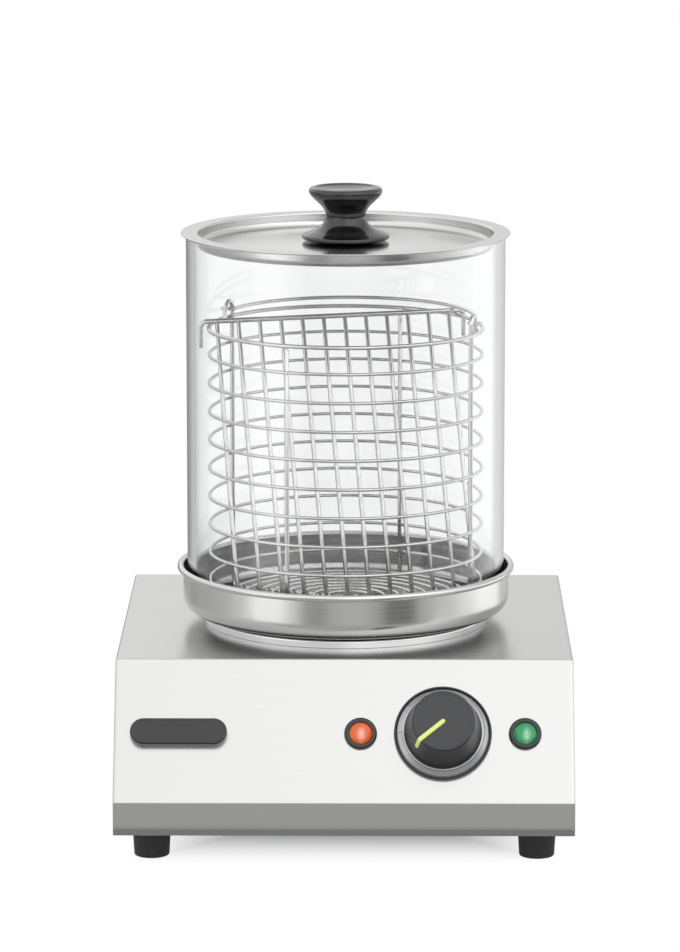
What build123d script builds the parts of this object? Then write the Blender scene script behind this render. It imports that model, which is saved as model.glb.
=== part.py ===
"""Table-top hot dog steamer.

A sheet-steel base unit with an electric hot plate carries a water pan. A glass cylinder stands in the pan
round a wire basket with a leaning divider, and a dished lid with a moulded knob closes the glass.
Millimetres, +Z up. The origin is on the table, under the middle of the whole outline.
"""

import os
from math import cos, degrees, pi, radians, sin, tan

from build123d import *

# ---------------------------------------------------------------- driving dimensions
# Base unit
housing_width = 280
housing_depth = 301
housing_height = 99
lip_height = 20.5
panel_lean = 31
sheet = 1
bend_radius = 2
foot_height = 20.5
axis_from_lip = 165

# Base plate and feet
plate_recess = 1.5
plate_clearance = 0.4
flange_width = 14
foot_top_diameter = 24
foot_bottom_diameter = 21.5
foot_side_inset = 22
foot_front_inset = 33
foot_rear_inset = 30
stud_diameter = 5
stud_length = 9
screw_diameter = 4
screw_head = (7, 1.2)
screw_length = 8
hole_clearance = 0.1
nut_m5 = (8, 4)
vent_slot = (40, 4)
vent_pitch = 9
vents_per_group = 7
vent_inset = 80
fixing_inset = 20
foot_edge = 1

# Hot plate
ring_diameter = 178
ring_height = 5
ring_width = 3.6
ring_edge = 1.3
shelf_width = 4
hotplate_rise = 6.6
hotplate_boss_depth = 5
seat_clearance = 0.3
element_diameter = 6.5
element_ring_radius = 58
element_gap_angle = 36
element_bend_radius = 8
lead_length = 19
clamp_bar = (136, 44, 2)
centre_stud_diameter = 8
centre_stud_length = 33
stud_seat = 3.5
bulb_diameter = 6
bulb_length = 36
bulb_offset = 12
tray_margin = 10.6
tray_depth = 22
tray_flange = 7
tray_sheet = 0.8
tray_corner = 10
bridge_bar = (150, 24, 2.5)
nut_m8 = (13, 6.5)

# Controls on the sloping panel
control_row = 43.7
dial_inset = 80
lamp_spacing = 50
dial_margin = 5.9
bezel_rim = (1.2, 2.6)
bezel_edge = 0.6
bezel_floor = 1
screw_head_clearance = 1
dial_thickness = 0.8
knob_base_diameter = 47.7
knob_face_diameter = 36.3
knob_length = 25
knob_gap = 0.4
knob_wall = 2.2
knob_hub_diameter = 13
hub_recess = 2
knob_edge = 1
pointer_width = 2.7
pointer_depth = 0.7
pointer_angle = 219.5
shaft_diameter = 6
shaft_engagement = 14
shaft_flat = 4.5
running_clearance = 0.05
panel_shaft_hole = 12
thermostat_size = (34, 28, 16)
thermostat_plate = (40, 20, 1.5)
thermostat_screw_pitch = 28
thermostat_screw = (4, 7, 2, 6)
shaft_seat = 8.5
capillary_diameter = 2
lamp_body_diameter = 14
lamp_body_length = 28
lamp_bezel = (20, 13.8, 2.6)
lamp_bezel_edge = 0.8
lens_diameter = 13.4
lens_height = 5
lens_facets = 8
lens_profile = ((0.96, 0.6), (0.5, 1))
clip_plate = (18, 0.8)
blade = (0.8, 6.3, 8)
blade_offset = 3
badge_size = (59, 16.5, 6)
badge_inset = 39.4
badge_bevel = 1.2

# Rear connection
gland_inset = 40
gland_height = 35
gland_thread = 16
gland_bore = 8
gland_hex = (22, 6)
gland_nose = (18, 14, 10)
gland_reach = 10
gland_nut = (20, 4)
block_size = (34, 18, 16)
block_from_back = 30
block_from_gland = 40
earth_from_block = 34
earth_stud_length = 12
cutout_diameter = 15
cutout_height = 8
cutout_position = (34, 30)
cutout_flange = (24, 12, 0.8)
pole_pitch = 10
pole_screw = (4, 4)
wire_diameter = 2.4

# Water pan
pan_play = 3
pan_height = 29.8
pan_corner = 10
pan_sheet = 0.8
pan_bead = 4.2
bead_edge = 1.2

# Glass cylinder
glass_diameter = 200
glass_wall = 5
glass_length = 234.5

# Wire basket
basket_play = 9
hoop_wire = 2.1
rim_wire = 2.6
post_wire = 2.9
hoop_count = 9
hoop_pitch = 17.95
rim_above_hoops = 16.5
rim_height = 179.5
post_angles = ((65, 245), (152, 338))
post_bend = 4
eyelet_rise = 10.5
eyelet_span = 12
floor_pitch = 9.1
floor_eye = 6.4
wire_sides = 6
round_sides = 10
ring_sides = 36
large_sides = 60
hoop_sides = 24
spiral_sides = 16

# Leaning divider, hooked over the rim
divider_angle = 17
divider_top_offset = 25.6
divider_foot_offset = -29.5
divider_bar_wire = 3.2
divider_wire = 2.8
divider_pitch = 14
hook_reach = 5.5
hook_drop = 16

# Carrying handle of the basket
handle_wire = 2.3
handle_sides = 24
handle_tip = 5
handle_play = 0.7
pivot_share = 0.394

# Lid and its knob
lid_overhang = 3
lid_play = 2
lid_depth = 8.5
lid_corner = 4.5
lid_dome = 3.7
lid_sheet = 0.8
lid_knob_foot = 55
lid_knob_neck = 25
lid_knob_cap = 46
lid_knob_dish = 35
lid_knob_height = 33
lid_screw_diameter = 5
lid_screw_reach = 14
lid_screw_head = 3
washer_radius = 9
washer_sheet = 1

# ---------------------------------------------------------------- derived places
z_bottom = foot_height
z_top = z_bottom + housing_height
z_lip = z_bottom + lip_height
lean_cos, lean_sin = cos(radians(panel_lean)), sin(radians(panel_lean))
dial_x = housing_width / 2 - dial_inset
badge_x = badge_inset - housing_width / 2
gland_x = housing_width / 2 - gland_inset
vent_x = housing_width / 2 - vent_inset
bezel_radius = knob_base_diameter / 2 + dial_margin
dial_bore = (thermostat_screw_pitch + thermostat_screw[1]) / 2 + screw_head_clearance
knob_base = bezel_floor + dial_thickness + knob_gap
knob_face = knob_base + knob_length
hub_foot = knob_base + hub_recess
front_reach = knob_face * lean_cos + (knob_face_diameter / 2 - control_row) * lean_sin
rear_reach = gland_hex[1] + gland_nose[2]
y_front = -(housing_depth + rear_reach - front_reach) / 2
y_back = y_front + housing_depth
y_axis = y_front + axis_from_lip
y_panel_top = y_front + (z_top - z_lip) * tan(radians(panel_lean))

axis_plane = Plane((0, y_axis, 0))
panel_plane = Plane(
    (0, y_front + control_row * lean_sin, z_lip + control_row * lean_cos),
    x_dir=(1, 0, 0),
    z_dir=(0, -lean_cos, lean_sin),
)
lamp_places = [(dial_x + side * lamp_spacing, 0) for side in (-1, 1)]
screw_places = [(dial_x + side * thermostat_screw_pitch / 2, 0) for side in (-1, 1)]

plate_z = z_bottom + plate_recess
flange_z = plate_z + sheet
inner_half_width = housing_width / 2 - sheet
fixing_x = inner_half_width - flange_width / 2
fixing_ys = (y_front + fixing_inset, y_back - fixing_inset)
foot_places = [
    (side * (housing_width / 2 - foot_side_inset), y)
    for side in (-1, 1)
    for y in (y_front + foot_front_inset, y_back - foot_rear_inset)
]

ring_radius = ring_diameter / 2
ring_bore = ring_radius - ring_width
shelf_bore = ring_bore - shelf_width
hotplate_radius = ring_bore - seat_clearance
boss_radius = shelf_bore - 1
hotplate_top = z_top + hotplate_rise
boss_bottom = z_top - hotplate_boss_depth
element_z = boss_bottom - element_diameter / 2 - 0.05
clamp_z = element_z - element_diameter / 2 - 0.05
sensor_z = boss_bottom - bulb_diameter / 2 - 0.1
tray_side = 2 * (shelf_bore + tray_margin)
tray_floor = z_top - sheet - tray_depth
bridge_z = tray_floor - tray_sheet

pan_bottom = hotplate_top + seat_clearance
glass_radius = glass_diameter / 2
pan_radius = glass_radius + pan_play
pan_floor = pan_bottom + pan_sheet
pan_rim = pan_bottom + pan_height


def corner(radius, bend, z):
    """The turned-up corner of a pan as straight chords: (radius, height) from its floor to its wall."""
    turns = [radians(a) for a in (0, 30, 60, 90)]
    return [(radius - bend + bend * sin(a), z + bend - bend * cos(a)) for a in turns]


def height_on(outline, radius):
    """The height of a rising outline at a radius."""
    for (r0, z0), (r1, z1) in zip(outline, outline[1:]):
        if r0 <= radius <= r1:
            return z0 + (z1 - z0) * (radius - r0) / (r1 - r0)
    return outline[0][1]


# The glass stands on the curve of the pan's corner, just above its floor.
pan_outside = corner(pan_radius, pan_corner, pan_bottom)
pan_inside = corner(pan_radius - pan_sheet, pan_corner - pan_sheet, pan_floor)
glass_z = height_on(pan_inside, glass_radius) + seat_clearance
glass_top = glass_z + glass_length

basket_radius = glass_radius - glass_wall - basket_play
basket_z = pan_floor + seat_clearance
lower_post_z = basket_z + post_wire / 2
upper_post_z = lower_post_z + post_wire + running_clearance
floor_z = upper_post_z + (post_wire + hoop_wire) / 2 + running_clearance
rim_z = basket_z + rim_height
hoop_zs = [rim_z - rim_above_hoops - hoop_pitch * i for i in range(hoop_count)]
post_radius = basket_radius - (rim_wire + post_wire) / 2 - running_clearance
hoop_radius = post_radius + (post_wire + hoop_wire) / 2 + running_clearance
floor_radius = post_radius - post_bend
floor_turns = round((floor_radius - floor_eye) / floor_pitch)

bar_z = rim_z + (rim_wire + divider_bar_wire) / 2 + running_clearance
foot_rail_z = floor_z + (hoop_wire + divider_wire) / 2 + seat_clearance
handle_z = bar_z + (divider_bar_wire + handle_wire) / 2 + seat_clearance

flange_seat = glass_top + seat_clearance
lid_top = flange_seat + lid_sheet
lid_radius = glass_radius + lid_overhang
skirt_radius = glass_radius - glass_wall - lid_play
dish_radius = skirt_radius - lid_corner
dish_z = flange_seat - lid_depth


# ---------------------------------------------------------------- shared forms
def wire(points, diameter, sides=wire_sides):
    """Sweep a flat-sided wire along straight runs through the points, mitred at each of them."""
    with BuildLine() as path:
        Polyline(*points)
    with BuildSketch(Plane(origin=path.line @ 0, z_dir=path.line % 0)) as section:
        RegularPolygon(diameter / 2, sides)
    sweep(section.sketch, path=path.line, transition=Transition.RIGHT)


def polar(radius, angle, z):
    """A point round the steamer's axis, the angle in degrees from +X."""
    return Vector(radius * cos(radians(angle)), y_axis + radius * sin(radians(angle)), z)


def hoop(radius, z, diameter, sides):
    """A closed wire ring round the axis, of straight runs whose middles touch a radius."""
    corners = [polar(radius / cos(pi / sides), 360 * (i + 0.5) / sides, z) for i in range(sides)]
    middle = (corners[-1] + corners[0]) / 2
    wire([middle, *corners, middle], diameter)


def on_panel(x, up=0, out=0):
    """A plane parallel to the sloping panel, at a place given in the panel's own directions."""
    return Plane(panel_plane * Pos(x, up, out))


def turned(plane, outline, sides=round_sides):
    """Turn a closed outline of (radius, height) points about a plane's axis, as bands of flat sides."""
    angles = [radians(360 * (i + 0.5) / sides) for i in range(sides)]
    points = [*outline, outline[0]]
    rings = [[plane.from_local_coords((r * cos(a), r * sin(a), h)) for a in angles] for r, h in points]
    faces = []
    for (r0, h0), (r1, h1), lower, upper in zip(points, points[1:], rings, rings[1:]):
        if r0 == r1 == 0:
            continue
        if h0 == h1 and 0 in (r0, r1):
            faces.append(Face(Wire.make_polygon(lower if r0 else upper)))
            continue
        for i in range(sides):
            start = [lower[i - 1], lower[i]] if r0 else [lower[i]]
            end = [upper[i], upper[i - 1]] if r1 else [upper[i]]
            faces.append(Face(Wire.make_polygon(start + end)))
    add(Solid(Shell(faces)))


def disc(plane, radius, height, sides=round_sides):
    """A flat-sided round disc that stands on a plane."""
    turned(plane, [(0, 0), (radius, 0), (radius, height), (0, height)], sides)


def round_hole(radius, mode=Mode.ADD):
    """Draw a flat-sided hole for a round piece, with its clearance."""
    RegularPolygon(radius + hole_clearance, round_sides, major_radius=False, mode=mode)


def finish(builder, name):
    """Label a finished piece and write it as its own node."""
    builder.part.label = name
    export_step(builder.part, f"parts/{name}.step")


os.makedirs("parts", exist_ok=True)

# ---------------------------------------------------------------- base unit
# The casing is one folded shell, open below, with side flanges that the base plate is screwed to.
def casing_side(inset, underside):
    """Draw the casing's side outline down to a height, moved inwards by an inset."""
    with BuildLine() as outline:
        Polyline(
            (y_front + inset, underside),
            (y_front + inset, z_lip - inset * tan(radians(panel_lean / 2))),
            (y_panel_top + inset * tan(radians(45 - panel_lean / 2)), z_top - inset),
            (y_back - inset, z_top - inset),
            (y_back - inset, underside),
            close=True,
        )
    make_face(outline.edges())


with BuildPart() as housing:
    with BuildSketch(Plane.YZ.offset(-housing_width / 2)):
        casing_side(0, z_bottom)
    extrude(amount=housing_width)
    open_edges = housing.faces().sort_by(Axis.Z)[0].edges()
    fillet(housing.edges().filter_by(Axis.X) - open_edges, bend_radius)
    open_edges = housing.faces().sort_by(Axis.Z)[0].edges()
    chamfer(housing.faces().filter_by(Axis.X).edges() - open_edges, bend_radius / 2)
    with BuildSketch(Plane.YZ.offset(-inner_half_width)):
        casing_side(sheet, z_bottom - 2 * sheet)
    extrude(amount=2 * inner_half_width, mode=Mode.SUBTRACT)
    flange_length = housing_depth - 4 * sheet
    with Locations((0, (y_front + y_back) / 2, flange_z + sheet / 2)):
        with Locations((-fixing_x, 0, 0), (fixing_x, 0, 0)):
            Box(flange_width, flange_length, sheet)
    with BuildSketch(axis_plane.offset(z_top)):
        Circle(shelf_bore)
    extrude(amount=-3 * sheet, mode=Mode.SUBTRACT)
    with BuildSketch(panel_plane.offset(sheet)):
        with Locations((dial_x, 0)):
            round_hole(panel_shaft_hole / 2)
        with Locations(*screw_places):
            round_hole(thermostat_screw[0] / 2)
        with Locations(*lamp_places):
            round_hole(lamp_body_diameter / 2)
    extrude(amount=-4 * sheet, mode=Mode.SUBTRACT)
    with BuildSketch(Plane((gland_x, y_back + sheet, z_bottom + gland_height), z_dir=(0, -1, 0))):
        round_hole(gland_thread / 2)
    extrude(amount=4 * sheet, mode=Mode.SUBTRACT)
    with BuildSketch(Plane.XY.offset(flange_z - sheet)):
        with Locations(*[(side * fixing_x, y) for side in (-1, 1) for y in fixing_ys]):
            round_hole(screw_diameter / 2)
    extrude(amount=3 * sheet, mode=Mode.SUBTRACT)
finish(housing, "housing")

# The base plate closes the casing, a little above its edge, with two groups of vent slots.
with BuildPart() as base_plate:
    inset = sheet + plate_clearance
    with BuildSketch(Plane.XY.offset(plate_z)):
        with Locations((0, (y_front + y_back) / 2)):
            Rectangle(housing_width - 2 * inset, housing_depth - 2 * inset)
        with Locations((-vent_x, y_axis), (vent_x, y_axis)):
            with GridLocations(0, vent_pitch, 1, vents_per_group):
                Rectangle(*vent_slot, mode=Mode.SUBTRACT)
        with Locations(*[(side * fixing_x, y) for side in (-1, 1) for y in fixing_ys]):
            round_hole(screw_diameter / 2, Mode.SUBTRACT)
        with Locations(*foot_places):
            round_hole(stud_diameter / 2, Mode.SUBTRACT)
    extrude(amount=sheet)
finish(base_plate, "base_plate")

with BuildPart() as base_screws:
    for x in (-fixing_x, fixing_x):
        for y in fixing_ys:
            head, head_height = screw_head
            turned(Plane((x, y, plate_z)), [
                (0, -head_height),
                (head / 2, -head_height),
                (head / 2, 0),
                (screw_diameter / 2, 0),
                (screw_diameter / 2, screw_length),
                (0, screw_length),
            ])
finish(base_screws, "base_screws")

with BuildPart() as rubber_feet:
    for x, y in foot_places:
        turned(Plane((x, y, 0)), [
            (0, 0),
            (foot_bottom_diameter / 2 - foot_edge, 0),
            (foot_bottom_diameter / 2, foot_edge),
            (foot_top_diameter / 2, plate_z),
            (0, plate_z),
        ], 2 * round_sides)
finish(rubber_feet, "rubber_feet")

with BuildPart() as foot_studs:
    for x, y in foot_places:
        disc(Plane((x, y, plate_z)), stud_diameter / 2, stud_length)
        with BuildSketch(Plane((x, y, plate_z + sheet))):
            RegularPolygon(nut_m5[0] / 2, 6, major_radius=False)
        extrude(amount=nut_m5[1])
finish(foot_studs, "foot_studs")

# ---------------------------------------------------------------- hot plate
with BuildPart() as trim_ring:
    turned(axis_plane, [
        (ring_bore, z_top),
        (ring_radius, z_top),
        (ring_radius, z_top + ring_height - ring_edge),
        (ring_radius - ring_edge, z_top + ring_height),
        (ring_bore, z_top + ring_height),
    ], large_sides)
finish(trim_ring, "trim_ring")

with BuildPart() as hotplate:
    turned(axis_plane, [
        (0, boss_bottom),
        (boss_radius, boss_bottom),
        (boss_radius, z_top),
        (hotplate_radius, z_top),
        (hotplate_radius, hotplate_top),
        (0, hotplate_top),
    ], large_sides)
    with BuildSketch(axis_plane.offset(boss_bottom)):
        round_hole(centre_stud_diameter / 2)
    extrude(amount=stud_seat, mode=Mode.SUBTRACT)
finish(hotplate, "hotplate")

with BuildPart() as centre_stud:
    stud_foot = axis_plane.offset(boss_bottom - centre_stud_length)
    disc(stud_foot, centre_stud_diameter / 2, centre_stud_length + stud_seat)
finish(centre_stud, "centre_stud")

# The tubular element is one open loop against the plate's underside, its two ends turned down.
with BuildPart() as heating_element:
    first = 270 + element_gap_angle / 2
    last = 630 - element_gap_angle / 2
    steps = 24
    ring = [
        polar(element_ring_radius, first + (last - first) * i / steps, element_z)
        for i in range(steps + 1)
    ]
    turn = element_bend_radius
    start_back = Vector(sin(radians(first)), -cos(radians(first)), 0)
    end_on = Vector(-sin(radians(last)), cos(radians(last)), 0)
    bend = [(0.4, 0.1), (0.8, 0.4), (1, 1)]
    lead_in = [ring[0] + start_back * turn * a - Vector(0, 0, turn * b) for a, b in bend]
    lead_out = [ring[-1] + end_on * turn * a - Vector(0, 0, turn * b) for a, b in bend]
    down = Vector(0, 0, -lead_length)
    wire([lead_in[-1] + down, *lead_in[::-1], *ring, *lead_out, lead_out[-1] + down], element_diameter)
lead_points = [lead_in[-1] + down, lead_out[-1] + down]
finish(heating_element, "heating_element")

with BuildPart() as element_clamp:
    with BuildSketch(axis_plane.offset(clamp_z)):
        Rectangle(*clamp_bar[:2])
        round_hole(centre_stud_diameter / 2, Mode.SUBTRACT)
    extrude(amount=-clamp_bar[2])
finish(element_clamp, "element_clamp")

# A folded tray under the plate shields the base from its heat and takes the pull of the centre stud.
with BuildPart() as heat_shield:
    with BuildSketch(axis_plane.offset(tray_floor - tray_sheet)):
        Rectangle(tray_side, tray_side)
    extrude(amount=tray_depth + tray_sheet)
    chamfer(heat_shield.edges().filter_by(Axis.Z), tray_corner)
    offset(amount=-tray_sheet, openings=heat_shield.faces().sort_by(Axis.Z)[-1])
    with BuildSketch(axis_plane.offset(z_top - sheet - tray_sheet)) as flange:
        Rectangle(tray_side + 2 * tray_flange, tray_side + 2 * tray_flange)
        chamfer(flange.vertices(), tray_corner)
        Rectangle(tray_side - 1, tray_side - 1, mode=Mode.SUBTRACT)
    extrude(amount=tray_sheet)
    with BuildSketch(Plane.XY.offset(tray_floor + 1)):
        with Locations((0, y_axis)):
            round_hole(centre_stud_diameter / 2)
        with Locations(*[(p.X, p.Y) for p in lead_points]):
            round_hole(element_diameter / 2 + 1)
    extrude(amount=-3, mode=Mode.SUBTRACT)
    with BuildSketch(Plane((0, y_axis - tray_side / 2 - 1, sensor_z), z_dir=(0, 1, 0))):
        round_hole(capillary_diameter / 2 + 0.4)
    extrude(amount=3, mode=Mode.SUBTRACT)
finish(heat_shield, "heat_shield")

with BuildPart() as bridge:
    with BuildSketch(axis_plane.offset(bridge_z)):
        Rectangle(*bridge_bar[:2])
        round_hole(centre_stud_diameter / 2, Mode.SUBTRACT)
    extrude(amount=-bridge_bar[2])
finish(bridge, "bridge")

with BuildPart() as stud_nuts:
    for z in (clamp_z - clamp_bar[2], bridge_z - bridge_bar[2]):
        with BuildSketch(axis_plane.offset(z)):
            RegularPolygon(nut_m8[0] / 2, 6, major_radius=False)
            round_hole(centre_stud_diameter / 2, Mode.SUBTRACT)
        extrude(amount=-nut_m8[1])
finish(stud_nuts, "stud_nuts")

# ---------------------------------------------------------------- thermostat and dial
with BuildPart() as dial_bezel:
    inner = bezel_radius - bezel_rim[0]
    turned(on_panel(dial_x), [
        (dial_bore, 0),
        (bezel_radius, 0),
        (bezel_radius, bezel_rim[1] - bezel_edge),
        (bezel_radius - bezel_edge, bezel_rim[1]),
        (inner, bezel_rim[1]),
        (inner, bezel_floor),
        (dial_bore, bezel_floor),
    ], ring_sides)
finish(dial_bezel, "dial_bezel")

with BuildPart() as dial_plate:
    outer = bezel_radius - bezel_rim[0] - hole_clearance
    top = bezel_floor + dial_thickness
    turned(on_panel(dial_x), [
        (dial_bore, bezel_floor),
        (outer, bezel_floor),
        (outer, top),
        (dial_bore, top),
    ], ring_sides)
finish(dial_plate, "dial_plate")

with BuildPart() as thermostat:
    with BuildSketch(panel_plane.offset(-sheet)):
        with Locations((dial_x, 0)):
            Rectangle(*thermostat_plate[:2])
    extrude(amount=-thermostat_plate[2])
    with BuildSketch(panel_plane.offset(-sheet - thermostat_plate[2])):
        with Locations((dial_x, 0)):
            Rectangle(*thermostat_size[:2])
    extrude(amount=-thermostat_size[2])
    with BuildSketch(panel_plane.offset(-sheet)):
        with Locations((dial_x, 0)):
            Circle(shaft_diameter / 2 + running_clearance)
        with Locations(*screw_places):
            round_hole(thermostat_screw[0] / 2)
    extrude(amount=-shaft_seat, mode=Mode.SUBTRACT)
finish(thermostat, "thermostat")

with BuildPart() as thermostat_shaft:
    shaft_foot = seat_clearance - sheet - shaft_seat
    shaft_tip = hub_foot + shaft_engagement
    with BuildSketch(panel_plane.offset(shaft_foot)):
        with Locations((dial_x, 0)):
            Circle(shaft_diameter / 2)
    extrude(amount=shaft_tip - shaft_foot)
    with BuildSketch(panel_plane.offset(hub_foot)):
        with Locations((dial_x, shaft_flat - shaft_diameter / 2)):
            Rectangle(shaft_diameter, shaft_diameter, align=(Align.CENTER, Align.MIN))
    extrude(amount=shaft_engagement, mode=Mode.SUBTRACT)
finish(thermostat_shaft, "thermostat_shaft")

with BuildPart() as thermostat_screws:
    shank, head, head_height, reach = thermostat_screw
    for x, _ in screw_places:
        turned(on_panel(x), [
            (0, -reach),
            (shank / 2, -reach),
            (shank / 2, 0),
            (head / 2, 0),
            (head / 2, head_height),
            (0, head_height),
        ])
finish(thermostat_screws, "thermostat_screws")

# The sensing bulb lies under the hot plate, and its capillary leaves through the gap of the element.
with BuildPart() as sensor_bulb:
    disc(Plane((0, y_axis - bulb_offset, sensor_z), z_dir=(0, -1, 0)), bulb_diameter / 2, bulb_length)
finish(sensor_bulb, "sensor_bulb")

thermostat_back = -sheet - thermostat_plate[2] - thermostat_size[2]


def behind_thermostat(across, up, away=0):
    """A point behind the thermostat's rear face, in the panel's own directions."""
    return on_panel(dial_x + across, up, thermostat_back - away).origin


with BuildPart() as capillary:
    bulb_end = y_axis - bulb_offset - bulb_length
    tray_front = y_axis - tray_side / 2
    wire([
        (0, bulb_end, sensor_z),
        (0, tray_front - 3, sensor_z),
        (3, tray_front - 9, sensor_z - 3),
        (12, tray_front - 13, sensor_z - 12),
        (24, tray_front - 10, sensor_z - 26),
        behind_thermostat(-10, 4, 14),
        behind_thermostat(-8, 4, 5),
        behind_thermostat(-8, 4),
    ], capillary_diameter)
finish(capillary, "capillary")

# ---------------------------------------------------------------- control knob
face_radius = knob_face_diameter / 2
base_radius = knob_base_diameter / 2
shoulder = (face_radius + knob_edge, knob_face - knob_edge)

# The pointer is an inlay that runs from the middle of the face over the edge and down the flank.
with BuildPart() as knob_pointer:
    turned(on_panel(dial_x), [
        (0, knob_face),
        (face_radius, knob_face),
        shoulder,
        (base_radius, knob_base),
        (base_radius - pointer_depth, knob_base),
        (shoulder[0] - pointer_depth, shoulder[1] - pointer_depth / 2),
        (face_radius - pointer_depth / 2, knob_face - pointer_depth),
        (0, knob_face - pointer_depth),
    ], ring_sides)
    with BuildSketch(panel_plane):
        with Locations(Location((dial_x, 0, 0), (0, 0, pointer_angle))):
            Rectangle(knob_base_diameter, pointer_width, align=(Align.MIN, Align.CENTER))
    extrude(amount=2 * knob_face, mode=Mode.INTERSECT)
finish(knob_pointer, "knob_pointer")

with BuildPart() as control_knob:
    hub_radius = knob_hub_diameter / 2
    bore_radius = shaft_diameter / 2 + running_clearance
    bore_depth = shaft_engagement + seat_clearance
    cavity_top = knob_face - knob_wall
    turned(on_panel(dial_x), [
        (0, cavity_top),
        (face_radius - knob_wall, cavity_top),
        (base_radius - knob_wall, knob_base),
        (base_radius, knob_base),
        shoulder,
        (face_radius, knob_face),
        (0, knob_face),
    ], ring_sides)
    disc(on_panel(dial_x, 0, hub_foot), hub_radius, cavity_top - hub_foot)
    with BuildSketch(panel_plane.offset(hub_foot)):
        with Locations((dial_x, 0)):
            Circle(bore_radius)
            with Locations((0, shaft_flat - shaft_diameter / 2 + running_clearance)):
                Rectangle(shaft_diameter, shaft_diameter, align=(Align.CENTER, Align.MIN), mode=Mode.SUBTRACT)
    extrude(amount=bore_depth, mode=Mode.SUBTRACT)
    add(knob_pointer.part, mode=Mode.SUBTRACT)
finish(control_knob, "control_knob")

# ---------------------------------------------------------------- indicator lamps and badge
with BuildPart() as lamp_bezels:
    outer, inner, rise = lamp_bezel[0] / 2, lamp_bezel[1] / 2, lamp_bezel[2]
    for x, _ in lamp_places:
        turned(on_panel(x), [
            (inner, 0),
            (outer, 0),
            (outer, rise - lamp_bezel_edge),
            (outer - lamp_bezel_edge, rise),
            (inner, rise),
        ], 2 * round_sides)
finish(lamp_bezels, "lamp_bezels")


def faceted_lens(x):
    """A lamp lens: an eight-sided drum that narrows to a small flat top."""
    radius = lens_diameter / 2
    turned(on_panel(x), [
        (0, 0),
        (radius, 0),
        *[(share * radius, up * lens_height) for share, up in lens_profile],
        (0, lens_height),
    ], lens_facets)


with BuildPart() as lamp_lens_heating:
    faceted_lens(lamp_places[0][0])
finish(lamp_lens_heating, "lamp_lens_heating")

with BuildPart() as lamp_lens_power:
    faceted_lens(lamp_places[1][0])
finish(lamp_lens_power, "lamp_lens_power")

with BuildPart() as lamp_bodies:
    for x, _ in lamp_places:
        disc(on_panel(x, 0, -lamp_body_length), lamp_body_diameter / 2, lamp_body_length)
    with BuildSketch(panel_plane.offset(-lamp_body_length)):
        for x, _ in lamp_places:
            with Locations((x - blade_offset, 0), (x + blade_offset, 0)):
                Rectangle(blade[0], blade[1])
    extrude(amount=-blade[2])
finish(lamp_bodies, "lamp_bodies")

with BuildPart() as lamp_clips:
    with BuildSketch(panel_plane.offset(-sheet)):
        with Locations(*lamp_places):
            Rectangle(clip_plate[0], clip_plate[0])
            round_hole(lamp_body_diameter / 2, Mode.SUBTRACT)
    extrude(amount=-clip_plate[1])
finish(lamp_clips, "lamp_clips")

with BuildPart() as badge:
    with BuildSketch(panel_plane):
        with Locations((badge_x, 0)):
            Rectangle(*badge_size[:2])
    extrude(amount=badge_size[2])
    chamfer(badge.faces().sort_by(Axis((0, 0, 0), panel_plane.z_dir))[-1].edges(), badge_bevel)
finish(badge, "badge")

# ---------------------------------------------------------------- rear connection and wiring
rear_wall = Plane((gland_x, y_back, z_bottom + gland_height), x_dir=(-1, 0, 0), z_dir=(0, 1, 0))
with BuildPart() as cable_gland:
    with BuildSketch(rear_wall):
        RegularPolygon(gland_hex[0] / 2, 6, major_radius=False)
    extrude(amount=gland_hex[1])
    turned(rear_wall, [
        (0, -gland_reach),
        (gland_thread / 2, -gland_reach),
        (gland_thread / 2, gland_hex[1] / 2),
        (gland_nose[0] / 2, gland_hex[1] / 2),
        (gland_nose[0] / 2, gland_hex[1] + gland_nose[2] / 2),
        (gland_nose[1] / 2, rear_reach),
        (0, rear_reach),
    ])
    with BuildSketch(rear_wall.offset(rear_reach)):
        Circle(gland_bore / 2)
    extrude(amount=-rear_reach - gland_reach, mode=Mode.SUBTRACT)
finish(cable_gland, "cable_gland")

with BuildPart() as gland_lock_nut:
    with BuildSketch(rear_wall.offset(-sheet)):
        RegularPolygon(gland_nut[0] / 2, 6, major_radius=False)
        round_hole(gland_thread / 2, Mode.SUBTRACT)
    extrude(amount=-gland_nut[1])
finish(gland_lock_nut, "gland_nut")

block_x = gland_x - block_from_gland
block_y = y_back - block_from_back
block_top = flange_z + block_size[2]
block_front = block_y - block_size[1] / 2
poles = [block_x + pole_pitch * i for i in (-1, 0, 1)]
wire_z = flange_z + 5
with BuildPart() as terminal_block:
    with BuildSketch(Plane.XY.offset(flange_z)):
        with Locations((block_x, block_y)):
            Rectangle(*block_size[:2])
    extrude(amount=block_size[2])
    with BuildSketch(Plane.XY.offset(block_top)):
        with Locations(*[(x, block_y) for x in poles]):
            round_hole(pole_screw[0] / 2)
    extrude(amount=-pole_screw[1] - 1, mode=Mode.SUBTRACT)
    with BuildSketch(Plane((0, block_front, 0), x_dir=(1, 0, 0), z_dir=(0, -1, 0))):
        with Locations(*[(x, wire_z) for x in poles]):
            round_hole(wire_diameter / 2)
    extrude(amount=-6, mode=Mode.SUBTRACT)
finish(terminal_block, "terminal_block")

with BuildPart() as terminal_screws:
    for x in poles:
        disc(Plane((x, block_y, block_top - pole_screw[1] - 1)), pole_screw[0] / 2, pole_screw[1])
finish(terminal_screws, "terminal_screws")

earth_place = (block_x - earth_from_block, block_y)
with BuildPart() as earth_stud:
    disc(Plane((*earth_place, flange_z)), stud_diameter / 2, earth_stud_length)
    with BuildSketch(Plane.XY.offset(flange_z)):
        with Locations(earth_place):
            RegularPolygon(nut_m5[0] / 2, 6, major_radius=False)
    extrude(amount=nut_m5[1])
finish(earth_stud, "earth_stud")

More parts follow.
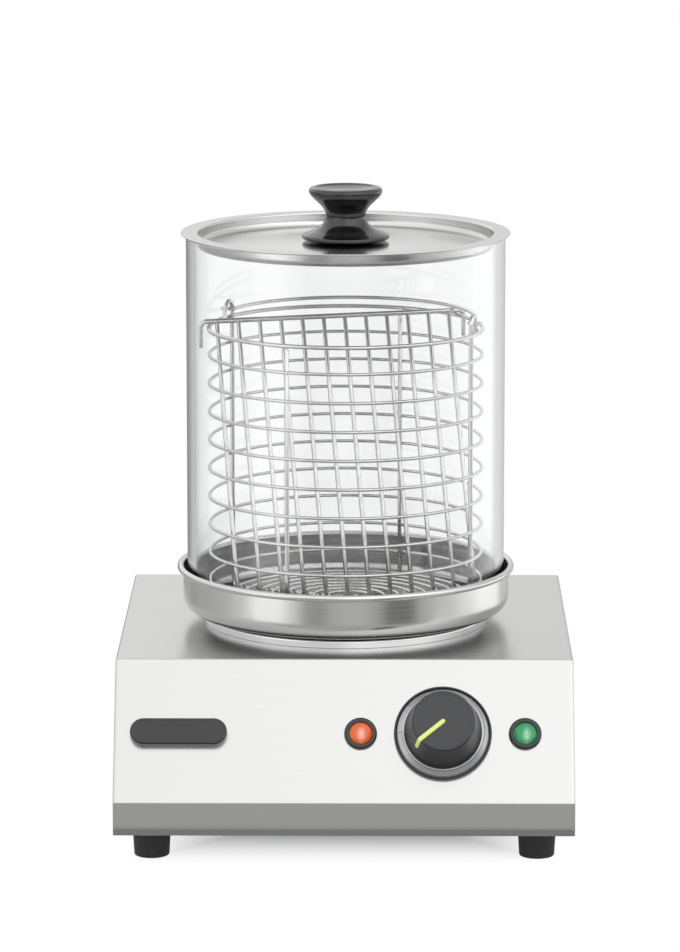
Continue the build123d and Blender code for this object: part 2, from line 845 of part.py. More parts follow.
cutout_x, cutout_y = cutout_position[0], y_axis + cutout_position[1]
cutout_blades = [cutout_x - 4, cutout_x + 4]
blade_z = bridge_z - cutout_height - blade[2]
with BuildPart() as thermal_cutout:
    with BuildSketch(Plane.XY.offset(bridge_z)):
        with Locations((cutout_x, cutout_y)):
            Rectangle(*cutout_flange[:2])
    extrude(amount=-cutout_flange[2])
    disc(Plane((cutout_x, cutout_y, bridge_z - cutout_height)), cutout_diameter / 2, cutout_height)
    with BuildSketch(Plane.XY.offset(bridge_z - cutout_height)):
        with Locations(*[(x, cutout_y) for x in cutout_blades]):
            Rectangle(*blade[:2])
    extrude(amount=-blade[2])
finish(thermal_cutout, "thermal_cutout")


def behind_lamp(place, side, away=0):
    """A point behind one blade of a lamp."""
    return on_panel(place[0] + blade_offset * side, 0, -lamp_body_length - blade[2] - away).origin


with BuildPart() as internal_wires:
    low = z_bottom + 24
    lead_end, lead_start = lead_points[1], lead_points[0]
    routes = [
        [
            (poles[0], block_front + 4, wire_z),
            (poles[0], block_front - 8, wire_z),
            (poles[0] - 4, block_front - 40, low),
            (poles[0], y_axis - 60, low + 6),
            behind_thermostat(-4, -8, 12),
            behind_thermostat(-4, -8),
        ],
        [
            (poles[1], block_front + 4, wire_z),
            (poles[1], block_front - 8, wire_z),
            (cutout_blades[1] + 8, cutout_y + 14, low + 14),
            (cutout_blades[1], cutout_y, blade_z - 12),
            (cutout_blades[1], cutout_y, blade_z),
        ],
        [
            (cutout_blades[0], cutout_y, blade_z),
            (cutout_blades[0], cutout_y, blade_z - 10),
            (cutout_blades[0] - 8, y_axis, low + 22),
            lead_start + Vector(4, 6, -14),
            lead_start + Vector(0, 0, -6),
            lead_start,
        ],
        [
            behind_thermostat(4, 6),
            behind_thermostat(4, 6, 8),
            (dial_x - 30, y_axis - 84, low + 18),
            lead_end + Vector(0, -4, -16),
            lead_end + Vector(0, 0, -6),
            lead_end,
        ],
        [
            behind_thermostat(10, -8),
            behind_thermostat(10, -8, 8),
            (lamp_places[1][0] - 14, y_front + 60, low + 4),
            behind_lamp(lamp_places[1], -1, 10),
            behind_lamp(lamp_places[1], -1),
        ],
        [
            behind_thermostat(-12, -8),
            behind_thermostat(-12, -8, 8),
            (lamp_places[0][0] + 16, y_front + 58, low + 2),
            behind_lamp(lamp_places[0], 1, 10),
            behind_lamp(lamp_places[0], 1),
        ],
        [
            (poles[2], block_front + 4, wire_z),
            (poles[2], block_front - 7, wire_z),
            (poles[2] - 14, block_front - 16, wire_z - 1),
            (earth_place[0] + 20, block_front - 16, wire_z - 1),
            (earth_place[0] + 5, earth_place[1] - 4, flange_z + 4 + wire_diameter / 2 + 0.1),
            (earth_place[0] + 4, earth_place[1] + 3, flange_z + 4 + wire_diameter / 2 + 0.1),
        ],
    ]
    for route in routes:
        wire(route, wire_diameter)
finish(internal_wires, "internal_wires")

# ---------------------------------------------------------------- water pan and glass
with BuildPart() as water_pan:
    wall_inside = pan_radius - pan_sheet
    turned(axis_plane, [
        (0, pan_bottom),
        *pan_outside,
        (pan_radius, pan_rim - pan_bead),
        (wall_inside + pan_bead, pan_rim - pan_bead),
        (wall_inside + pan_bead, pan_rim - bead_edge),
        (wall_inside + pan_bead - bead_edge, pan_rim),
        (wall_inside, pan_rim),
        *pan_inside[::-1],
        (0, pan_floor),
    ], large_sides)
finish(water_pan, "water_pan")

with BuildPart() as glass_cylinder:
    with BuildSketch(axis_plane.offset(glass_z)):
        Circle(glass_radius)
        Circle(glass_radius - glass_wall, mode=Mode.SUBTRACT)
    extrude(amount=glass_length)
finish(glass_cylinder, "glass_cylinder")

# ---------------------------------------------------------------- wire basket
with BuildPart() as basket_rim:
    hoop(basket_radius, rim_z, rim_wire, ring_sides)
finish(basket_rim, "basket_rim")

with BuildPart() as basket_hoops:
    for z in hoop_zs:
        hoop(hoop_radius, z, hoop_wire, hoop_sides)
finish(basket_hoops, "basket_hoops")

# Two wires bent to a U carry the hoops. The second crosses over the first, and its ends rise above the rim,
# where each is bent over to an eyelet for the handle.
eyelet_outline = [(0, 0.55), (0.1, 0.85), (0.3, 1), (0.55, 1), (0.72, 0.8), (1, -0.15)]
eyelet_turn = degrees(eyelet_span / post_radius)


def post_side(angle, bottom, top):
    """One upright of a U wire, from the bend at its foot to its upper end."""
    foot = [
        polar(post_radius - post_bend * (1 - sin(a)), angle, bottom + post_bend * (1 - cos(a)))
        for a in (0, radians(45), radians(90))
    ]
    return [*foot, polar(post_radius, angle, top)]


def eyelet(angle):
    """The bent-over end of a post, from the rim up and over and down again beside it."""
    return [
        polar(post_radius, angle + eyelet_turn * along, rim_z + eyelet_rise * up)
        for along, up in eyelet_outline
    ]


with BuildPart() as basket_posts:
    front, back = post_angles[0][1], post_angles[0][0]
    wire([
        *post_side(front, lower_post_z, rim_z - running_clearance)[::-1],
        *post_side(back, lower_post_z, rim_z - running_clearance),
    ], post_wire)
    left, right = post_angles[1]
    wire([
        *eyelet(left)[::-1],
        *post_side(left, upper_post_z, rim_z)[:-1][::-1],
        *post_side(right, upper_post_z, rim_z)[:-1],
        *eyelet(right),
    ], post_wire)
finish(basket_posts, "basket_posts")

# The floor is one wire wound flat, from the outside to the middle.
with BuildPart() as basket_floor:
    steps = floor_turns * spiral_sides
    wire([
        polar(floor_radius - floor_pitch * i / spiral_sides, 360 * i / spiral_sides, floor_z)
        for i in range(steps + 1)
    ], hoop_wire)
finish(basket_floor, "basket_floor")

# The divider leans from the back of the rim to the front of the floor.
along = Vector(cos(radians(divider_angle)), sin(radians(divider_angle)), 0)
behind = Vector(-sin(radians(divider_angle)), cos(radians(divider_angle)), 0)
centre = Vector(0, y_axis, 0)


def divider_point(across, offset, z):
    """A point of the divider, across it from its middle and behind the steamer's axis."""
    return centre + along * across + behind * offset + Vector(0, 0, z)


with BuildPart() as divider:
    hook_radius = basket_radius + hook_reach
    half_span = (hook_radius**2 - divider_top_offset**2) ** 0.5
    bar = [divider_point(s * half_span, divider_top_offset, bar_z) for s in (-1, 1)]
    knee = along * 2
    drop = Vector(0, 0, -2)
    tail = Vector(0, 0, -hook_drop)
    hooked = [bar[0] + tail, bar[0] + drop, bar[0] + knee, bar[1] - knee, bar[1] + drop, bar[1] + tail]
    wire(hooked, divider_bar_wire)
    foot_room = ((hoop_radius - hoop_wire / 2) ** 2 - divider_foot_offset**2) ** 0.5 - divider_wire / 2
    divider_wires = 1 + int(2 * foot_room / divider_pitch)
    edge = (divider_wires - 1) * divider_pitch / 2
    ends = edge + divider_wire / 2
    wire([divider_point(s * ends, divider_foot_offset, foot_rail_z) for s in (-1, 1)], divider_wire)
    for i in range(divider_wires):
        across = i * divider_pitch - edge
        wire([
            divider_point(across, divider_top_offset, bar_z),
            divider_point(across, divider_foot_offset, foot_rail_z),
        ], divider_wire)
finish(divider, "divider")

# ---------------------------------------------------------------- carrying handle
pivot_turn = pivot_share * eyelet_turn
pivots = [polar(post_radius, angle + pivot_turn, handle_z) for angle in post_angles[1]]
pivot_middle = (pivots[0] + pivots[1]) / 2
pivot_along = (pivots[1] - pivots[0]).normalized()
pivot_back = Vector(-pivot_along.Y, pivot_along.X, 0)
handle_radius = (pivots[1] - pivots[0]).length / 2 - (post_wire + handle_wire) / 2 - handle_play
with BuildPart() as basket_handle:
    bow = [
        pivot_middle
        - pivot_along * handle_radius * cos(radians(180 * i / handle_sides))
        + pivot_back * handle_radius * sin(radians(180 * i / handle_sides))
        for i in range(handle_sides + 1)
    ]
    tips = [pivots[0] - pivot_along * handle_tip, pivots[1] + pivot_along * handle_tip]
    wire([tips[0], *bow, tips[1]], handle_wire)
finish(basket_handle, "basket_handle")

# ---------------------------------------------------------------- lid
def dome(radius):
    """The height of the slightly domed bottom of the lid's dish at a radius, on its underside."""
    return dish_z + lid_dome * (1 - radius / dish_radius)


with BuildPart() as lid:
    hole_radius = lid_screw_diameter / 2 + hole_clearance
    inside = skirt_radius - lid_sheet
    turned(axis_plane, [
        (hole_radius, dome(hole_radius)),
        (dish_radius, dish_z),
        (skirt_radius, dish_z + lid_corner),
        (skirt_radius, flange_seat),
        (lid_radius, flange_seat),
        (lid_radius, lid_top),
        (inside, lid_top),
        (inside, dish_z + lid_corner + lid_sheet / 3),
        (dish_radius - lid_sheet / 3, dish_z + lid_sheet),
        (hole_radius, dome(hole_radius) + lid_sheet),
    ], large_sides)
finish(lid, "lid")

with BuildPart() as lid_knob:
    foot, neck, cap, hollow = (d / 2 for d in (lid_knob_foot, lid_knob_neck, lid_knob_cap, lid_knob_dish))
    screw = lid_screw_diameter / 2 + running_clearance
    seat = lid_sheet + 2 * running_clearance
    base = dish_z + lid_dome + seat
    top = base + lid_knob_height
    turned(axis_plane, [
        (screw, dome(screw) + seat),
        (foot, dome(foot) + seat),
        (foot, base + 1.2),
        (foot - 4, base + 4),
        (neck + 3, base + 7),
        (neck, base + 11.5),
        (neck + 1.5, top - 14),
        (cap - 4, top - 8.5),
        (cap, top - 5),
        (cap - 0.6, top - 2),
        (cap - 3, top),
        (hollow, top - 0.4),
        (hollow / 2, top - 2.4),
        (0, top - 3),
        (0, base + lid_screw_reach),
        (screw, base + lid_screw_reach),
    ], ring_sides)
finish(lid_knob, "lid_knob")

with BuildPart() as lid_knob_screw:
    shank = lid_screw_diameter / 2
    washer_foot = dome(washer_radius) - running_clearance - washer_sheet
    turned(axis_plane, [
        (0, washer_foot - lid_screw_head),
        (2 * shank, washer_foot - lid_screw_head),
        (2 * shank, washer_foot),
        (shank, washer_foot),
        (shank, base + lid_screw_reach - 1),
        (0, base + lid_screw_reach - 1),
    ])
finish(lid_knob_screw, "lid_knob_screw")

with BuildPart() as lid_knob_washer:
    turned(axis_plane, [
        (hole_radius, washer_foot),
        (washer_radius, washer_foot),
        (washer_radius, washer_foot + washer_sheet),
        (hole_radius, washer_foot + washer_sheet),
    ])
finish(lid_knob_washer, "lid_knob_washer")
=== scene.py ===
"""Studio scene of a table-top hot dog steamer.

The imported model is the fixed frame. What shows is made here as surfaces worked out on grids: an outline
turned about an axis, or a section carried along a path. Sizes are in millimetres and go into the meshes in
metres.
"""

import math

import bmesh
import bpy
import numpy as np
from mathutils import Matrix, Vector


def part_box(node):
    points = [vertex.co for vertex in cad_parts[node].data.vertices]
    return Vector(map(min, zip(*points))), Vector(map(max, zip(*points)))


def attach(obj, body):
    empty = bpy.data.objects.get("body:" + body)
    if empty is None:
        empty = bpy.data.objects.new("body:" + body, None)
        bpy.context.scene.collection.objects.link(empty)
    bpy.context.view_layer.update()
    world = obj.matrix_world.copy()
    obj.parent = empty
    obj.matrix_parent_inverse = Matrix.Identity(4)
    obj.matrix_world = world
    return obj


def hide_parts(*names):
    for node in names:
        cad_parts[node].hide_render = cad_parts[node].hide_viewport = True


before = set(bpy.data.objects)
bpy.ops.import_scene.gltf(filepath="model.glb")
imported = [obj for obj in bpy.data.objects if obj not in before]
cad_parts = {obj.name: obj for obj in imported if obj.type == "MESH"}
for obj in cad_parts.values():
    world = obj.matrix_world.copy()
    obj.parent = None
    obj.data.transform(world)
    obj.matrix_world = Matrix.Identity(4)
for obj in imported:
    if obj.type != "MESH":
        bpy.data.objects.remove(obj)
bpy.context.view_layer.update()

MM = 0.001
TAU = 2 * np.pi
UP = np.array([0.0, 0.0, 1.0])
scene = bpy.context.scene


# ---------------------------------------------------------------- places taken from the frame
def reach(node):
    """Lowest and highest corner of a node of the frame, in millimetres."""
    low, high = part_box(node)
    return np.array(low) / MM, np.array(high) / MM


class Place:
    """A local frame: its origin, its x and z directions, and the y direction that is square to both."""

    def __init__(self, origin, x=(1, 0, 0), z=(0, 0, 1)):
        self.origin, self.x, self.z = (np.array(v, float) for v in (origin, x, z))
        self.y = np.cross(self.z, self.x)
        self.tilt = math.atan2(-self.z[1], self.z[2])

    def at(self, x, y, z):
        """Points of the room for local coordinates: origin + x times its x direction, and so on."""
        x, y, z = np.broadcast_arrays(x, y, z)
        return self.origin + x[..., None] * self.x + y[..., None] * self.y + z[..., None] * self.z


glass_low, glass_high = reach("glass_cylinder")
casing_low, casing_high = reach("housing")
axis_y = (glass_low[1] + glass_high[1]) / 2
y_front, y_back = casing_low[1], casing_high[1]
z_bottom, z_top = casing_low[2], casing_high[2]
half_width = casing_high[0]

panel_lean = math.radians(31)
lip_height = 20.5
control_row = 43.7  # how far up the panel the dial, lamps and badge stand
z_lip = z_bottom + lip_height
y_panel_top = y_front + (z_top - z_lip) * math.tan(panel_lean)
dial_x, badge_x, lamp_xs, gland_x, gland_z = 60, -100.6, (10, 110), 100, 55.5

upright = Place((0, axis_y, 0))
rear_wall = Place((gland_x, y_back, gland_z), x=(-1, 0, 0), z=(0, 1, 0))


def on_panel(x):
    """The place on the sloping panel's row of controls at a distance from the middle."""
    lean_sin, lean_cos = math.sin(panel_lean), math.cos(panel_lean)
    origin = (x, y_front + control_row * lean_sin, z_lip + control_row * lean_cos)
    return Place(origin, z=(0, -lean_cos, lean_sin))


dial = on_panel(dial_x)


# ---------------------------------------------------------------- outlines and paths
def unit(vectors):
    """Vectors divided by their lengths."""
    return vectors / np.linalg.norm(vectors, axis=-1, keepdims=True)


def rounded(corners, radii, closed=False, parts=6):
    """An outline or path with round corners.

    With t the turn at a corner and r its radius, the arc starts r tan(t/2) before the corner. Its points are
    centre + (start sin((1-s) t) + end sin(s t)) / sin t. A point close to each of its ends keeps the run
    beside it straight.
    """
    corners = np.asarray(corners, float)
    share = np.linspace(0, 1, parts + 1)[:, None]
    points = []
    for i, (corner, radius) in enumerate(zip(corners, np.broadcast_to(radii, len(corners)))):
        if radius == 0 or not closed and i in (0, len(corners) - 1):
            points.append(corner[None])
            continue
        before = unit(corners[i - 1] - corner)
        after = unit(corners[(i + 1) % len(corners)] - corner)
        half = np.arccos(np.clip(before @ after, -1, 1)) / 2
        turn = np.pi - 2 * half
        centre = corner + unit(before + after) * radius / np.sin(half)
        start = corner + before * radius / np.tan(half) - centre
        end = corner + after * radius / np.tan(half) - centre
        arc = centre + (np.sin((1 - share) * turn) * start + np.sin(share * turn) * end) / np.sin(turn)
        points += [arc[:1] + before * 0.15 * radius, arc, arc[-1:] + after * 0.15 * radius]
    return np.concatenate(points)


def smooth(points, steps=6):
    """A curve through points: between b and c, with a before and d after, it is the Catmull-Rom cubic
    (2b + (c-a)s + (2a-5b+4c-d)s^2 + (3b-a-3c+d)s^3) / 2."""
    p = np.asarray(points, float)
    p = np.concatenate([2 * p[:1] - p[1:2], p, 2 * p[-1:] - p[-2:-1]])
    s = (np.arange(steps) / steps)[None, :, None]
    a, b, c, d = (p[i : len(p) - 3 + i, None] for i in range(4))
    spans = (2 * b + (c - a) * s + (2 * a - 5 * b + 4 * c - d) * s**2 + (3 * b - a - 3 * c + d) * s**3) / 2
    return np.concatenate([spans.reshape(-1, p.shape[1]), p[-2:-1]])


def divided(path, step):
    """A path with points added on its long runs, so that none is longer than a step."""
    far = np.concatenate([[0], np.linalg.norm(np.diff(path, axis=0), axis=1).cumsum()])
    places = np.unique(np.concatenate([far, np.arange(0, far[-1], step)]).round(4))
    return np.stack([np.interp(places, far, values) for values in path.T], axis=1)


def polar(radius, angle, z):
    """Points round the steamer's axis, the angle in degrees from the right."""
    return upright.at(radius * np.cos(np.radians(angle)), radius * np.sin(np.radians(angle)), z)


# ---------------------------------------------------------------- surfaces
def grid(points, rows=False, columns=True, caps=False):
    """A grid of points and how it closes: last row to first, last column to first, lids on both end rows."""
    return np.asarray(points), rows, columns, caps


def turned(outline, place=upright, steps=144):
    """An outline of radius r and height h turned about a place's axis: (r cos a, r sin a, h) at each angle a.
    With both ends on the axis it stays open, and otherwise its last point is joined to its first."""
    r, h = np.asarray(outline, float).T[:, :, None]
    a = np.linspace(0, TAU, steps, endpoint=False)[None]
    on_axis = r[0, 0] == 0 and r[-1, 0] == 0
    return grid(place.at(r * np.cos(a), r * np.sin(a), h), rows=not on_axis)


def tube(path, diameter, side, closed=False, sides=14):
    """A circle carried along a path: point + r (cos a n + sin a b), where n is the side direction made square
    to the path and b is square to both. At an open end r falls as a cosine over half a radius, as on a cut
    wire."""
    path = np.asarray(path, float)
    along = unit(np.roll(path, -1, 0) - np.roll(path, 1, 0) if closed else np.gradient(path, axis=0))
    side = np.broadcast_to(side, path.shape)
    n = unit(side - (side * along).sum(1, keepdims=True) * along)
    b = np.cross(along, n)
    radius = np.full(len(path), diameter / 2)
    if not closed:
        dip = np.radians([80, 55, 28])
        out = (0.5 * radius[0] * np.sin(dip))[:, None]
        path = np.concatenate([path[:1] - along[:1] * out, path, path[-1:] + along[-1:] * out[::-1]])
        n, b = (np.concatenate([v[:1].repeat(3, 0), v, v[-1:].repeat(3, 0)]) for v in (n, b))
        radius = np.concatenate([radius[0] * np.cos(dip), radius, radius[0] * np.cos(dip)[::-1]])
    a = np.linspace(0, TAU, sides, endpoint=False)[:, None]
    ring = np.cos(a) * n[:, None] + np.sin(a) * b[:, None]
    return grid(path[:, None] + radius[:, None, None] * ring, rows=closed, caps=not closed)


def strip(path, across, up, widths, rise):
    """A flat oval carried along a path: point + across (width/2) cos a + up rise sin a."""
    a = np.linspace(0, TAU, 16, endpoint=False)[:, None]
    half = (np.broadcast_to(widths, len(path)) / 2)[:, None, None]
    across, up = (np.broadcast_to(v, path.shape)[:, None] for v in (across, up))
    return grid(path[:, None] + across * half * np.cos(a) + up * rise * np.sin(a), caps=True)


def piece(name, grids, finish, body, *nodes, slot=None, crease=38):
    """Join grids into one mesh and put it on its body: each cell of four neighbouring points is a face,
    points that lie together are merged, and the faces are turned outwards."""
    points, faces, first = [], [], 0
    for cells, rows, columns, caps in grids:
        n, m = cells.shape[:2]
        i, j = np.arange(n if rows else n - 1)[:, None], np.arange(m if columns else m - 1)[None]
        i_next, j_next = (i + 1) % n, (j + 1) % m
        corners = (i * m + j, i * m + j_next, i_next * m + j_next, i_next * m + j)
        faces += (np.stack(np.broadcast_arrays(*corners), -1).reshape(-1, 4) + first).tolist()
        if caps:
            ring = np.arange(m) + first
            faces += [ring[::-1].tolist(), (ring + (n - 1) * m).tolist()]
        points.append(cells.reshape(-1, 3))
        first += n * m
    mesh = bpy.data.meshes.new(name)
    mesh.from_pydata((np.concatenate(points) * MM).tolist(), [], faces)
    shape = bmesh.new()
    shape.from_mesh(mesh)
    bmesh.ops.remove_doubles(shape, verts=shape.verts, dist=2e-6)
    bmesh.ops.recalc_face_normals(shape, faces=shape.faces)
    shape.to_mesh(mesh)
    shape.free()
    mesh.polygons.foreach_set("use_smooth", np.ones(len(mesh.polygons), bool))
    mesh.set_sharp_from_angle(angle=math.radians(crease))
    mesh.materials.append(finish)
    made = bpy.data.objects.new(name, mesh)
    scene.collection.objects.link(made)
    if body:
        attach(made, body)
        if nodes:
            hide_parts(*nodes)
    return made


# ---------------------------------------------------------------- finishes
def linear(colour):
    """A colour written as #rrggbb, turned from sRGB to linear."""
    parts = np.array([int(colour[i : i + 2], 16) for i in (1, 3, 5)]) / 255
    return [*np.where(parts <= 0.04045, parts / 12.92, ((parts + 0.055) / 1.055) ** 2.4).tolist(), 1.0]


def add(tree, kind, inputs=(), **settings):
    """Add one node with its settings, and its inputs as pairs of a socket and a value or a link."""
    made = tree.nodes.new("ShaderNode" + kind)
    for name, value in settings.items():
        setattr(made, name, value)
    for socket, value in inputs:
        if isinstance(value, bpy.types.NodeSocket):
            tree.links.new(value, made.inputs[socket])
        else:
            made.inputs[socket].default_value = value
    return made


def start(name, colour, metallic, roughness, **sockets):
    """A new material with its shader's plain values set on their own sockets."""
    made = bpy.data.materials.new(name)
    made.use_nodes = True
    shader = made.node_tree.nodes["Principled BSDF"]
    values = {"Base Color": linear(colour), "Metallic": metallic, "Roughness": roughness}
    values |= {socket.replace("_", " "): value for socket, value in sockets.items()}
    for socket, value in values.items():
        shader.inputs[socket].default_value = value
    return made, made.node_tree, shader


def patterned(started, shades, gloss, relief, size, about=None):
    """Let noise of a real size in millimetres move a finish between two shades and two roughnesses, and its
    surface up and down. About a place, the noise runs round its axis in rings, sized across and along it."""
    made, tree, shader = started
    where = add(tree, "TexCoord").outputs["Object"]
    if about is None:
        scale = [1 / (s * MM) for s in size]
        grain = add(tree, "Mapping", [("Vector", where), ("Scale", scale)]).outputs[0]
    else:
        turn = [("Vector", where), ("Location", about.origin * MM), ("Rotation", (about.tilt, 0, 0))]
        local = add(tree, "Mapping", turn, vector_type="TEXTURE").outputs[0]
        flat = add(tree, "VectorMath", [(0, local), (1, (1, 1, 0))], operation="MULTIPLY").outputs[0]
        radius = add(tree, "VectorMath", [(0, flat)], operation="LENGTH").outputs["Value"]
        height = add(tree, "SeparateXYZ", [(0, local)]).outputs[2]
        rings = add(tree, "CombineXYZ", [(0, radius), (1, height)]).outputs[0]
        scale = (1 / (size[0] * MM), 1 / (size[1] * MM), 0)
        grain = add(tree, "VectorMath", [(0, rings), (1, scale)], operation="MULTIPLY").outputs[0]
    noise = add(tree, "TexNoise", [("Vector", grain), ("Scale", 1.0), ("Detail", 2.0)]).outputs[0]
    mix = [(0, noise), (6, linear(shades[0])), (7, linear(shades[1]))]
    colour = add(tree, "Mix", mix, data_type="RGBA").outputs[2]
    limits = [("Value", noise), ("From Min", 0.3), ("From Max", 0.7)]
    limits += [("To Min", gloss[0]), ("To Max", gloss[1])]
    rough = add(tree, "MapRange", limits).outputs["Result"]
    bump = add(tree, "Bump", [("Height", noise), ("Distance", relief * MM), ("Strength", 1.0)]).outputs[0]
    for socket, link in (("Base Color", colour), ("Roughness", rough), ("Normal", bump)):
        tree.links.new(link, shader.inputs[socket])
    return made


def metal(name, shades, gloss, relief, size, about=None):
    """A bare or plated metal."""
    return patterned(start(name, shades[0], 1.0, gloss[0]), shades, gloss, relief, size, about)


def moulded(name, shades, gloss, relief, size, ior=1.5, about=None):
    """A moulded plastic, rubber or ceramic."""
    return patterned(start(name, shades[0], 0.0, gloss[0], IOR=ior), shades, gloss, relief, size, about)


def clear_glass():
    """Borosilicate tube: no colour face on, a grey cast where the eye looks along the wall, faint smears."""
    made, tree, shader = start("borosilicate_glass", "#FFFFFF", 0.0, 0.0, IOR=1.47, Transmission_Weight=1.0)
    where = add(tree, "TexCoord").outputs["Object"]
    smear = add(tree, "TexNoise", [("Vector", where), ("Scale", 14.0), ("Detail", 1.0)]).outputs[0]
    limits = [("Value", smear), ("From Min", 0.45), ("From Max", 0.8), ("To Min", 0.0), ("To Max", 0.012)]
    tree.links.new(add(tree, "MapRange", limits).outputs["Result"], shader.inputs["Roughness"])
    path = add(tree, "LightPath").outputs
    passed = [(0, path["Is Shadow Ray"]), (1, path["Is Diffuse Ray"])]
    passes = add(tree, "Math", passed, operation="MAXIMUM").outputs[0]
    clear = add(tree, "BsdfTransparent").outputs[0]
    mix = add(tree, "MixShader", [(0, passes), (1, shader.outputs[0]), (2, clear)])
    cast = add(tree, "VolumeAbsorption", [("Color", linear("#D2DAD8")), ("Density", 16.0)])
    output = tree.nodes["Material Output"]
    tree.links.new(mix.outputs[0], output.inputs["Surface"])
    tree.links.new(cast.outputs[0], output.inputs["Volume"])
    return made


def lit_lens(name, dark, bright, glow, x, shift):
    """Clear tinted polycarbonate with small pyramids behind it, lit by a bar lamp: a pale upright core that
    fades to the tint at the rim. The pyramids are drawn 1.3 mm apart, coarser than real ones, to show."""
    made, tree, shader = start(name, dark, 0.0, 0.12, IOR=1.58, Emission_Strength=1.0)
    place, spacing = on_panel(x), 1.3
    turn = [("Vector", add(tree, "TexCoord").outputs["Object"]), ("Location", place.origin * MM)]
    turn.append(("Rotation", (place.tilt, 0, 0)))
    local = add(tree, "Mapping", turn, vector_type="TEXTURE").outputs[0]
    scaled = [(0, local), (1, [1 / (spacing * MM)] * 3)]
    cells = add(tree, "VectorMath", scaled, operation="MULTIPLY").outputs[0]
    even = [("Vector", cells), ("Scale", 1.0), ("Randomness", 0.15)]
    cell = add(tree, "TexVoronoi", even, distance="CHEBYCHEV").outputs["Distance"]
    moved = [(0, local), (1, (-shift[0] * MM, -shift[1] * MM, 0))]
    centred = add(tree, "VectorMath", moved, operation="ADD").outputs[0]
    squeezed = add(tree, "VectorMath", [(0, centred), (1, (1.7, 1.0, 0))], operation="MULTIPLY").outputs[0]
    away = add(tree, "VectorMath", [(0, squeezed)], operation="LENGTH").outputs["Value"]
    near = [("Value", away), ("From Min", 0.0008), ("From Max", 0.0062), ("To Min", 1.0), ("To Max", 0.0)]
    core = add(tree, "MapRange", near, interpolation_type="SMOOTHSTEP").outputs["Result"]
    facet = [("Value", cell), ("From Max", 0.55), ("To Min", 1.0), ("To Max", 0.45)]
    sparkle = add(tree, "MapRange", facet).outputs["Result"]
    level = add(tree, "Math", [(0, core), (1, sparkle)], operation="MULTIPLY").outputs[0]
    tint = add(tree, "Mix", [(0, level), (6, linear(bright)), (7, linear(glow))], data_type="RGBA").outputs[2]
    shade = add(tree, "Mix", [(0, sparkle), (6, linear(dark)), (7, tint)], data_type="RGBA").outputs[2]
    bump = add(tree, "Bump", [("Height", cell), ("Distance", 0.15 * MM), ("Strength", 0.5)])
    tree.links.new(shade, shader.inputs["Emission Color"])
    tree.links.new(bump.outputs[0], shader.inputs["Normal"])
    return made


# Satin stainless sheet: a fine grain along the width, so reflections blur and spread upright.
satin_sheet = metal("satin_stainless", ("#BBBBBA", "#C0C0BF"), (0.22, 0.27), 0.0006, (90, 1.2, 1.2))
# Spun stainless: grooves round the axis, so what it mirrors stretches into upright bands.
spun_steel = metal("spun_stainless", ("#BDBDBC", "#C6C6C5"), (0.15, 0.20), 0.0015, (1.4, 1.4), upright)
# Polished trim: a near mirror with a breath of haze.
mirror_trim = metal("polished_stainless", ("#CFCFCF", "#D6D6D6"), (0.05, 0.09), 0.001, (30, 30, 30))
# Bright-drawn stainless wire: clean highlights with dark cores.
bright_wire = metal("drawn_stainless_wire", ("#C2C2C1", "#CDCDCC"), (0.10, 0.17), 0.002, (6, 6, 6))
# Heat-proof coated cast plate: dull, nearly black, with faint turning marks.
coated_plate = metal("coated_cast_plate", ("#2C2B2A", "#353433"), (0.45, 0.58), 0.01, (1.6, 1.6), upright)
# Zinc-plated steel: cool grey with a slight bloom.
zinc_steel = metal("zinc_plated_steel", ("#A9ADB0", "#B9BCBD"), (0.32, 0.46), 0.004, (5, 5, 5))
# Mill-finish aluminium sheet: pale and soft.
mill_aluminium = metal("mill_aluminium", ("#B8BABC", "#C5C7C8"), (0.34, 0.44), 0.003, (60, 1.5, 1.5))
# Heater sheath, oxidised by use: brown grey and dull.
oxidised_sheath = metal("oxidised_heater_sheath", ("#4B4640", "#5E564C"), (0.48, 0.62), 0.01, (4, 4, 4))
# Copper of the sensor and its tube, a little tarnished.
dull_copper = metal("tarnished_copper", ("#A9694A", "#BC7B58"), (0.28, 0.42), 0.003, (5, 5, 5))
# Brass terminal screws.
yellow_brass = metal("yellow_brass", ("#BB9850", "#C9A65C"), (0.25, 0.35), 0.002, (3, 3, 3))
# Satin silver dial: fine rings round the knob.
silver_dial = metal("satin_silver_dial", ("#9FA0A2", "#B4B5B7"), (0.30, 0.38), 0.004, (0.9, 0.9), dial)
# Black phenolic: deep gloss with small moulding waves.
phenolic = moulded("gloss_black_phenolic", ("#0B0B0C", "#111112"), (0.07, 0.13), 0.01, (14, 14, 14), 1.6)
# Satin black knob plastic with a fine moulded grain.
knob_plastic = moulded("satin_black_abs", ("#191A1D", "#1F2023"), (0.27, 0.36), 0.006, (1.1, 1.1, 1.1), 1.54)
# Gloss black rings of dial and lamps.
gloss_ring = moulded("gloss_black_nylon", ("#0D0D0E", "#141415"), (0.14, 0.22), 0.004, (3, 3, 3), 1.53)
# Badge: dark satin acrylic, blank.
badge_acrylic = moulded("dark_satin_acrylic", ("#1B1B1C", "#1E1E1F"), (0.26, 0.31), 0.001, (2, 2, 2), 1.49)
# Pointer: opaque yellow-green filling.
pointer_paint = moulded("yellow_green_enamel", ("#CBD66F", "#D6DF86"), (0.38, 0.48), 0.006, (2, 2, 2))
# Printed scale lines.
scale_ink = moulded("dark_grey_ink", ("#2E2F31", "#3A3B3D"), (0.45, 0.55), 0.002, (2, 2, 2))
# Soft black rubber of the feet.
foot_rubber = moulded("black_nitrile_rubber", ("#19191A", "#222223"), (0.58, 0.72), 0.02, [1.5] * 3, 1.52)
# Black polyamide of gland and lamp bodies.
black_polyamide = moulded("black_polyamide", ("#17181A", "#202123"), (0.38, 0.5), 0.01, (1.4, 1.4, 1.4), 1.53)
